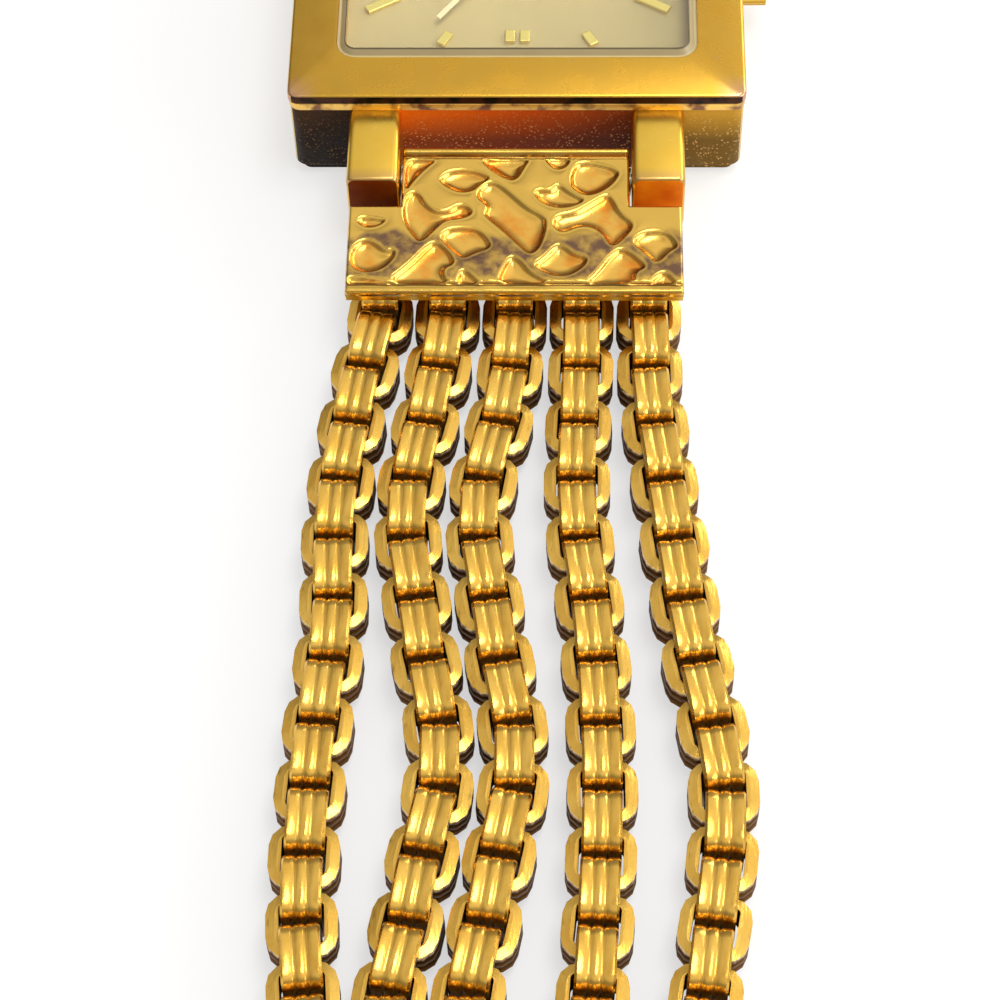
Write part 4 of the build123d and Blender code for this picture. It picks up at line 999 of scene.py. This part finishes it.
def turn_matrices(pitch, roll, yaw):
    """Rotations by pitch about X, then roll about Y, then yaw about Z, one for each ring."""
    zero, one = np.zeros_like(pitch), np.ones_like(pitch)
    cp, sp, cr, sr, cy, sy = (
        f(a) for a in (pitch, roll, yaw) for f in (np.cos, np.sin)
    )
    about_x = np.stack([one, zero, zero, zero, cp, -sp, zero, sp, cp], -1).reshape(-1, 3, 3)
    about_y = np.stack([cr, zero, sr, zero, one, zero, -sr, zero, cr], -1).reshape(-1, 3, 3)
    about_z = np.stack([cy, -sy, zero, sy, cy, zero, zero, zero, one], -1).reshape(-1, 3, 3)
    return about_z @ about_y @ about_x


class WATCH_OT_case(bpy.types.Operator):
    """Dress the case middle, bezel and case back"""

    bl_idname = "watch.case"
    bl_label = "Case and bezel"

    def execute(self, context):
        work = context.scene.watch_casework
        # Finishes: satin; end walls and lug ends with painted shade, reflection and glints; the rubbed
        # band with painted shade on the bezel's side
        makers = (satin_gold_plate, pitted_gold_recess, amber_film_on_gold, rubbed_gold_band)
        satin, pitted, painted_light, rubbed = (finish(maker) for maker in makers)
        finishes = [satin, pitted, painted_light, rubbed]
        shape = joined(self.case_shapes(work))
        piece = surface_piece("case_middle_plated", shape, finishes, self.case_finish, CASE_HARD_ANGLE)
        stand_for(piece, "case_middle")
        finishes = [finish(polished_gold_plate), rubbed]
        shape = loft(self.bezel_sections(work), True)
        piece = surface_piece("bezel_plated", shape, finishes, self.bezel_finish, CASE_HARD_ANGLE)
        stand_for(piece, "bezel")
        finishes = [bench("brushed_steel"), pitted, satin]
        softened("case_back", "case_back_steel", 0, finishes, self.back_finish)
        dress("case_back_gasket", bench("nitrile_rubber"))
        return {"FINISHED"}

    def bezel_sections(self, work):
        """Sections round the bezel's own profile: side, slope, opening, crystal seat and skirt.

        The side turns into the slope over a round edge: its sections stand at shares of the soft
        edge in from the side and down from the slope's foot.
        """
        low, high = (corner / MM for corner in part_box("bezel"))
        seat, opening = (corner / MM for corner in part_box("crystal_gasket"))
        x, y, soft = high.x, high.y, work.soft_edge / MM
        ox, oy, ledge, land = opening.x, opening.y, CRYSTAL_LEDGE, OPENING_LAND
        slope_foot, corner, inner = high.z - BEZEL_SLOPE, BEZEL_CORNER, OPENING_CORNER
        wx, wy, wall_corner = (size - CAVITY_CLEARANCE for size in CAVITY)
        side = [
            (FOOT_GAP, BAND_TOP), (0, BAND_TOP + FOOT_GAP), (0, slope_foot - soft),
            (soft * 0.1, slope_foot - soft * 0.5), (soft * 0.5, slope_foot - soft * 0.05),
            (soft * 1.2, slope_foot + soft * 0.18),
        ]
        return [(x - inset, y - inset, corner, height) for inset, height in side] + [
            (ox + land + 0.05, oy + land + 0.05, inner + land, high.z - 0.012),
            (ox + land - 0.03, oy + land - 0.03, inner + land, high.z),
            (ox + 0.03, oy + 0.03, inner, high.z), (ox, oy, inner, high.z - 0.04),
            (ox, oy, inner, seat.z), (ox - ledge, oy - ledge, inner - ledge, seat.z),
            (ox - ledge, oy - ledge, inner - ledge, low.z), (wx, wy, wall_corner, low.z),
            (wx, wy, wall_corner, BAND_TOP),
        ]

    def case_shapes(self, work):
        """The body, a ring round the cavity, and four lugs with long rounded edges.

        The body's sections run up its wall, out over the band, and down the cavity. A lug's run
        from inside the body to its tip, where they draw in along a quarter round.
        """
        low, high = (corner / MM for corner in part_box("case_middle"))
        foot, corner, soft, ease = low.z, CASE_CORNER, CASE_FOOT_ROUND, 0.05
        band_x, band_y = high.x + BAND_PROUD, WALL_Y + BAND_OVER_END
        wall_x = band_x - BAND_OVER_SIDE
        body = loft([
            (wall_x - soft, WALL_Y - soft, corner - soft, foot),
            (wall_x - soft * 0.3, WALL_Y - soft * 0.3, corner, foot + soft * 0.3),
            (wall_x, WALL_Y, corner, foot + soft), (wall_x, WALL_Y, corner, LUG_TOP - 0.03),
            (wall_x + 0.03, WALL_Y + 0.03, corner, LUG_TOP),
            (band_x - 0.02, band_y - 0.02, corner, LUG_TOP),
            (band_x, band_y, corner, LUG_TOP + ease), (band_x, band_y, corner, BAND_TOP - ease),
            (band_x - ease, band_y - ease, corner, BAND_TOP), CAVITY + (BAND_TOP,), CAVITY + (foot,),
        ], True)
        half_x, half_z = (LUG_OUT - LUG_IN) / 2, (LUG_TOP - LUG_FOOT) / 2
        round_edge, tip = work.lug_round / MM, 0.2
        along, faces, layers = loft([
            (half_x, half_z, round_edge, WALL_Y - LUG_ROOT),
            (half_x, half_z, round_edge, LUG_END - tip),
            (half_x - tip * 0.13, half_z - tip * 0.13, round_edge, LUG_END - tip * 0.5),
            (half_x - tip * 0.5, half_z - tip * 0.5, round_edge, LUG_END - tip * 0.13),
            (half_x - tip, half_z - tip, round_edge - tip * 0.6, LUG_END),
        ], False)
        middle = ((LUG_OUT + LUG_IN) / 2, 0, (LUG_TOP + LUG_FOOT) / 2)
        turned = [face[::-1] for face in faces]
        lugs = [
            ((along[:, [0, 2, 1]] + middle) * (x_sign, y_sign, 1),
             faces if x_sign * y_sign < 0 else turned, layers)
            for x_sign in (1, -1) for y_sign in (1, -1)
        ]
        return [body] + lugs

    def bezel_finish(self, centre, normal):
        """0 polished, 1 rubbed on the upright sides that face the bracelet, with painted shade on the
        bezel's side.
        """
        return 1 if abs(normal.y) > 0.3 and abs(normal.z) < 0.5 and abs(centre.y) > WALL_Y else 0

    def back_finish(self, centre, normal):
        """0 steel, and at the rim 1 pitted, with painted shade and glints, towards the bracelet or 2
        satin at the sides.
        """
        if abs(normal.z) > 0.5 or max(abs(centre.x), abs(centre.y)) < WALL_Y - LUG_ROOT:
            return 0
        return 1 if abs(normal.y) > 0.3 else 2

    def case_finish(self, centre, normal):
        """0 satin, 1 the pitted end walls, 2 the lugs' end faces, 3 the rubbed band above the walls;
        1 and 2 carry painted shade and reflection.
        """
        if abs(normal.y) < 0.3 or abs(centre.y) < WALL_Y - 0.3:
            return 0
        if abs(centre.y) > LUG_END - 0.1 and abs(normal.y) > 0.9:
            return 2
        if abs(centre.y) > WALL_Y + 0.2:
            return 0
        return 1 if centre.z < LUG_TOP - 0.02 else 3


class WATCH_OT_dial(bpy.types.Operator):
    """Dress the dial, its markers and the two hands"""

    bl_idname = "watch.dial"
    bl_label = "Dial and hands"

    def execute(self, context):
        edge = context.scene.watch_casework.crisp_edge
        dress("dial", finish(champagne_lacquer))
        softened("hour_markers", "hour_markers_gilt", edge, [finish(polished_gilt)])
        for hand in ("minute_hand", "hour_hand"):
            softened(hand, f"{hand}_gilt", edge * HAND_EDGE, [finish(pale_gilt_hands)])
        return {"FINISHED"}


class WATCH_OT_crystal(bpy.types.Operator):
    """Dress the crystal and its gasket"""

    bl_idname = "watch.crystal"
    bl_label = "Crystal"

    def execute(self, context):
        low, high = (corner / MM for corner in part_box("crystal"))
        bevel, corner = CRYSTAL_BEVEL, CRYSTAL_CORNER
        shape = loft([
            (high.x, high.y, corner, low.z), (high.x, high.y, corner, high.z - bevel),
            (high.x - bevel, high.y - bevel, corner - bevel, high.z),
        ], False)
        finishes = [finish(mineral_glass), finish(ground_crystal_edge)]
        piece = surface_piece("crystal_glass", shape, finishes, self.crystal_finish, CRYSTAL_HARD_ANGLE)
        stand_for(piece, "crystal")
        dress("crystal_gasket", bench("ivory_gasket"))
        return {"FINISHED"}

    def crystal_finish(self, centre, normal):
        """0 clear on the flats, 1 ground at the edge."""
        return 0 if abs(normal.z) > 0.95 else 1


class WATCH_OT_crown(bpy.types.Operator):
    """Dress the crown, its tube, gasket, stem and lever"""

    bl_idname = "watch.crown"
    bl_label = "Crown"

    def execute(self, context):
        edge = context.scene.watch_casework.crisp_edge
        softened("crown", "crown_plated", edge, [finish(satin_gold_plate)])
        dress("crown_gasket", bench("nitrile_rubber"))
        for node in ("crown_tube", "setting_stem", "setting_lever"):
            dress(node, bench("brushed_steel"))
        return {"FINISHED"}


class WATCH_OT_inside(bpy.types.Operator):
    """Dress the movement, which shows when the watch is taken apart"""

    bl_idname = "watch.inside"
    bl_label = "Movement"

    def execute(self, context):
        groups = {
            "stamped_brass": ("main_plate", "train_bridge", "centre_wheel", "minute_wheel",
                              "hour_wheel", "reduction_wheel"),
            "brushed_steel": ("battery", "battery_clip", "stator", "rotor", "bridge_screws",
                              "quartz_crystal", "spring_bar_6", "spring_bar_12"),
            "moulded_acetal": ("movement_holder",),
            "enamelled_copper": ("coil",),
            "green_solder_mask": ("circuit_board",),
        }
        for name, nodes in groups.items():
            for node in nodes:
                dress(node, bench(name))
        return {"FINISHED"}


class WATCH_OT_end_pieces(bpy.types.Operator):
    """Build the relief end pieces at the lugs and the strand end bars at the clasp"""

    bl_idname = "watch.end_pieces"
    bl_label = "End pieces"

    def execute(self, context):
        work = context.scene.watch_casework
        relief, satin = finish(cast_gold_relief), finish(satin_gold_plate)
        low, high = (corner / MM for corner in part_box("end_piece_6"))
        half, rim, far = high.x + 0.02, low.y - 0.06, high.y
        bottom = high.z - 0.05
        tongue, waist = TONGUE_HALF, SHOULDER_Y
        tee = [
            (-half, rim), (half, rim), (half, waist), (tongue, waist), (tongue, far), (-tongue, far),
            (-tongue, waist), (-half, waist),
        ]
        back = rim + END_BAR_LENGTH
        oblong = [(-half, rim), (half, rim), (half, back), (-half, back)]
        points, faces, layers = relief_slab(oblong, bottom, work)
        bar_back = (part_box("end_bar_6")[1] / MM).y
        moved = points * (-1, -1, 1) + (0, bar_back + rim, 0)
        slabs = {"end_piece": relief_slab(tee, bottom, work), "end_bar": (moved, faces, layers)}
        for side, sign in SIDES.items():
            for name, (points, faces, layers) in slabs.items():
                node = f"{name}_{side}"
                shape = (points * (sign, sign, 1), faces, layers)
                go_with(surface_piece(f"{node}_relief", shape, [relief]), node)
                softened(node, f"{node}_casting", work.crisp_edge * CASTING_EDGE, [satin])
            dress(f"strand_pin_{side}", satin)
            dress(f"end_bar_pin_{side}", satin)
        return {"FINISHED"}


class WATCH_OT_strands(bpy.types.Operator):
    """Build the ridged rings of the five box chain strands on both sides"""

    bl_idname = "watch.strands"
    bl_label = "Strands"

    def execute(self, context):
        chain = context.scene.watch_chain
        material = finish(stamped_gold_chain)
        lying, faces, hollow, columns = ring_shape(
            chain, chain.corner, chain.ear, chain.ear_band, chain.chamfer, LYING_SHOULDER
        )
        standing = ring_shape(
            chain, chain.bend, chain.bar, chain.band, chain.bevel, STANDING_SHOULDER
        )[0][:, [2, 1, 0]] * (1, 1, -1)
        sway = np.random.default_rng(12)
        for side, sign in SIDES.items():
            for row in range(ROWS_IN_SIDE):
                last = LINKS_IN_STRAND if row == ROWS_IN_SIDE - 1 else (row + 1) * LINKS_IN_ROW
                numbers = np.arange(row * LINKS_IN_ROW, last)
                is_standing = numbers % 2 == 0
                shapes = np.where(is_standing[:, None, None], standing, lying)
                upright = np.repeat(is_standing, len(lying))
                rings = np.concatenate(
                    [self.strand_rings(chain, route, numbers, shapes, sway) for route in STRAND_ROUTES]
                )
                count = len(rings)
                offsets = np.arange(count)[:, None, None] * len(lying)
                layers = {
                    "groove": np.tile(hollow, count),
                    "standing": np.tile(upright, len(STRAND_ROUTES)),
                }
                points = rings.reshape(-1, 3) * (sign, sign, 1)
                all_faces = (faces[None] + offsets).reshape(-1, 4).tolist()
                node = f"strand_row_{row + 1}_{side}"
                piece = surface_piece(f"{node}_links", (points, all_faces, layers), [material])
                self.mark_sharp(piece.data, columns)
                stand_for(piece, node)
        return {"FINISHED"}

    def strand_rings(self, chain, route, numbers, shapes, sway):
        """One strand's rings of a row, each turned along its route and swayed by a degree or so.

        The row's first and last rings keep still, so that they clear the next rows' when a row
        bends, and a ring that would dip below the floor is lifted onto it.
        """
        distances = numbers * chain.pitch / MM
        x, slope = route_places(route, distances)
        tilt = np.radians(sway.normal(0, SWAY_DEGREES, (len(numbers), 3)))
        tilt[[0, -1]] = 0
        pitch, roll, yaw = tilt.T
        turn = turn_matrices(pitch, roll, np.arctan(slope) + yaw)
        height = np.full_like(x, chain.width / MM / 2)
        centre = np.stack([x, -chain.first / MM - distances, height], -1)
        placed = np.einsum("nij,npj->npi", turn, shapes) + centre[:, None]
        placed[..., 2] += np.maximum(-placed[..., 2].min(1), 0)[:, None]
        return placed

    def mark_sharp(self, mesh, columns):
        """Edges that run along the band's edges, bevels and inner face are sharp."""
        pairs = np.zeros(len(mesh.edges) * 2, np.int32)
        mesh.edges.foreach_get("vertices", pairs)
        across = pairs.reshape(-1, 2) % columns
        corner = np.isin(across[:, 0], SHARP_COLUMNS) & (across[:, 0] == across[:, 1])
        mesh.edges.foreach_set("use_edge_sharp", corner)


class WATCH_OT_clasp(bpy.types.Operator):
    """Dress the fold-over clasp and the catch bar"""

    bl_idname = "watch.clasp"
    bl_label = "Clasp"

    def execute(self, context):
        crisp = context.scene.watch_casework.crisp_edge
        edges = {
            "clasp_frame": crisp * CLASP_EDGE, "clasp_cover": crisp * CLASP_EDGE,
            "clasp_pins": crisp, "catch_bar": crisp,
        }
        for node, edge in edges.items():
            softened(node, f"{node}_plated", edge, [finish(satin_gold_plate)])
        return {"FINISHED"}


# The lamps: name, place in metres, the stage's property for the width, height in millimetres, watts
LAMPS = (
    ("key_light", (0.11, -0.03, 0.5), "key_size", 170, 1.1),
    ("side_strip", (0.4, -0.16, 0.19), "fill_size", 150, 0.8),
    ("edge_strip", (0.36, 0.25, 0.2), "fill_size", 200, 0.8),
)

# Levels of the studio's walls and ceiling, by the direction's height, 0 to 1
SKY = ((0.0, 0.3), (0.45, 0.42), (0.74, 1.0), (0.88, 1.0), (1.0, 0.55))

FLOOR_HALF = 3.0
FLOOR_LIFT = 0.6


class WATCH_OT_stage(bpy.types.Operator):
    """Set the camera, the pale floor and the soft studio light"""

    bl_idname = "watch.stage"
    bl_label = "Stage"

    def execute(self, context):
        stage = context.scene.watch_stage
        self.set_camera(context)
        self.lay_floor(stage)
        for name, place, width, height, watts in LAMPS:
            self.hang_light(name, place, getattr(stage, width), mm(height), watts)
        self.set_world(context)
        context.scene.view_settings.view_transform = "Standard"
        return {"FINISHED"}

    def set_camera(self, context):
        """The camera's place and three directions, fitted to the case, lugs and chain, in metres."""
        focal_px, frame_px, sensor = 3005.0, 1000.0, 36.0
        place = (mm(2.846), mm(-113.697), mm(124.540))
        right = (0.99972, 0.01545, -0.01774)
        up = (-0.00317, 0.83558, 0.54936)
        back = (0.02331, -0.54915, 0.83540)
        lens = bpy.data.cameras.new("camera")
        lens.sensor_width = sensor
        lens.lens = sensor * focal_px / frame_px
        lens.clip_start = 0.01
        camera = add_object("camera", lens)
        columns = [axis + (0.0,) for axis in (right, up, back)] + [place + (1.0,)]
        camera.matrix_world = Matrix(columns).transposed()
        context.scene.camera = camera

    def lay_floor(self, stage):
        """A plain matt sheet, wide enough for every view, whose seen colour is lifted towards white.

        The lift is a share of white glow that only the camera, reflections and the glass see.
        """
        half = FLOOR_HALF
        mesh = bpy.data.meshes.new("floor")
        mesh.from_pydata(
            [(-half, -half, 0), (half, -half, 0), (half, half, 0), (-half, half, 0)], [], [(0, 1, 2, 3)]
        )
        floor = add_object("floor", mesh)
        material, add, shader, _ = start_material("matt_floor")
        set_inputs(shader, {"Base Color": stage.floor, "Roughness": 0.9, "Specular IOR Level": 0.1})
        camera, glossy, through = (
            add("LightPath", out=f"Is {kind} Ray")
            for kind in ("Camera", "Glossy", "Transmission")
        )
        seen = add("Math", {0: camera, 1: glossy}, operation="MAXIMUM")
        seen = add("Math", {0: seen, 1: through}, operation="MAXIMUM")
        share = add("Math", {0: seen, 1: FLOOR_LIFT}, operation="MULTIPLY")
        white = add("Emission", {"Color": grey(1.0), "Strength": 1.0})
        both = add("MixShader", {0: share, 1: shader.outputs["BSDF"], 2: white})
        set_inputs(material.node_tree.nodes["Material Output"], {"Surface": both})
        mesh.materials.append(material)

    def hang_light(self, name, place, width, height, watts):
        """A rectangular softbox that faces the watch."""
        lamp = bpy.data.lights.new(name, "AREA")
        lamp.shape = "RECTANGLE"
        lamp.size = width
        lamp.size_y = height
        lamp.energy = watts
        light = add_object(name, lamp)
        light.location = place
        light.rotation_euler = (-light.location).to_track_quat("-Z", "Y").to_euler()

    def set_world(self, context):
        """A plain studio: dim at the horizon, bright high up, less overhead, more at the right."""
        world = bpy.data.worlds.new("studio")
        world.use_nodes = True
        add = partial(add_node, world.node_tree)
        way = add("TexCoord", out="Generated")
        x, z = (add("SeparateXYZ", {"Vector": way}, axis) for axis in "XZ")
        sky = [(height, grey(level)) for height, level in SKY]
        colour = add("ValToRGB", {"Fac": z}, stops=sky)
        strength = add("MapRange", {0: x, 1: -0.8, 2: 0.8, 3: 0.7, 4: 1.15})
        set_inputs(world.node_tree.nodes["Background"], {"Color": colour, "Strength": strength})
        context.scene.world = world


STEPS = ("stage", "case", "dial", "crystal", "crown", "inside", "end_pieces", "strands", "clasp")


class WATCH_PT_panel(bpy.types.Panel):
    """Lists the watch's steps, sizes and colours"""

    bl_label = "Bracelet watch"
    bl_idname = "WATCH_PT_panel"
    bl_space_type = "VIEW_3D"
    bl_region_type = "UI"
    bl_category = "Watch"

    def draw(self, context):
        layout = self.layout
        for step in STEPS:
            layout.operator(f"watch.{step}")
        for group in (context.scene.watch_chain, context.scene.watch_casework,
                      context.scene.watch_colours, context.scene.watch_stage):
            box = layout.box()
            for key in group.__annotations__:
                box.prop(group, key)


GROUPS = {
    "watch_chain": WatchChain,
    "watch_casework": WatchCasework,
    "watch_colours": WatchColours,
    "watch_stage": WatchStage,
}
CLASSES = (
    *GROUPS.values(), WATCH_OT_case, WATCH_OT_dial, WATCH_OT_crystal, WATCH_OT_crown,
    WATCH_OT_inside, WATCH_OT_end_pieces, WATCH_OT_strands, WATCH_OT_clasp, WATCH_OT_stage,
    WATCH_PT_panel,
)


def register():
    """Adds the classes and the scene's properties."""
    for item in CLASSES:
        bpy.utils.register_class(item)
    for name, group in GROUPS.items():
        setattr(bpy.types.Scene, name, PointerProperty(type=group))


def unregister():
    """Takes them away again."""
    for name in GROUPS:
        delattr(bpy.types.Scene, name)
    for item in reversed(CLASSES):
        bpy.utils.unregister_class(item)


def main():
    """Builds the whole watch."""
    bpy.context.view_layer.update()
    register()
    for step in STEPS:
        getattr(bpy.ops.watch, step)()


if __name__ == "__main__":
    main()
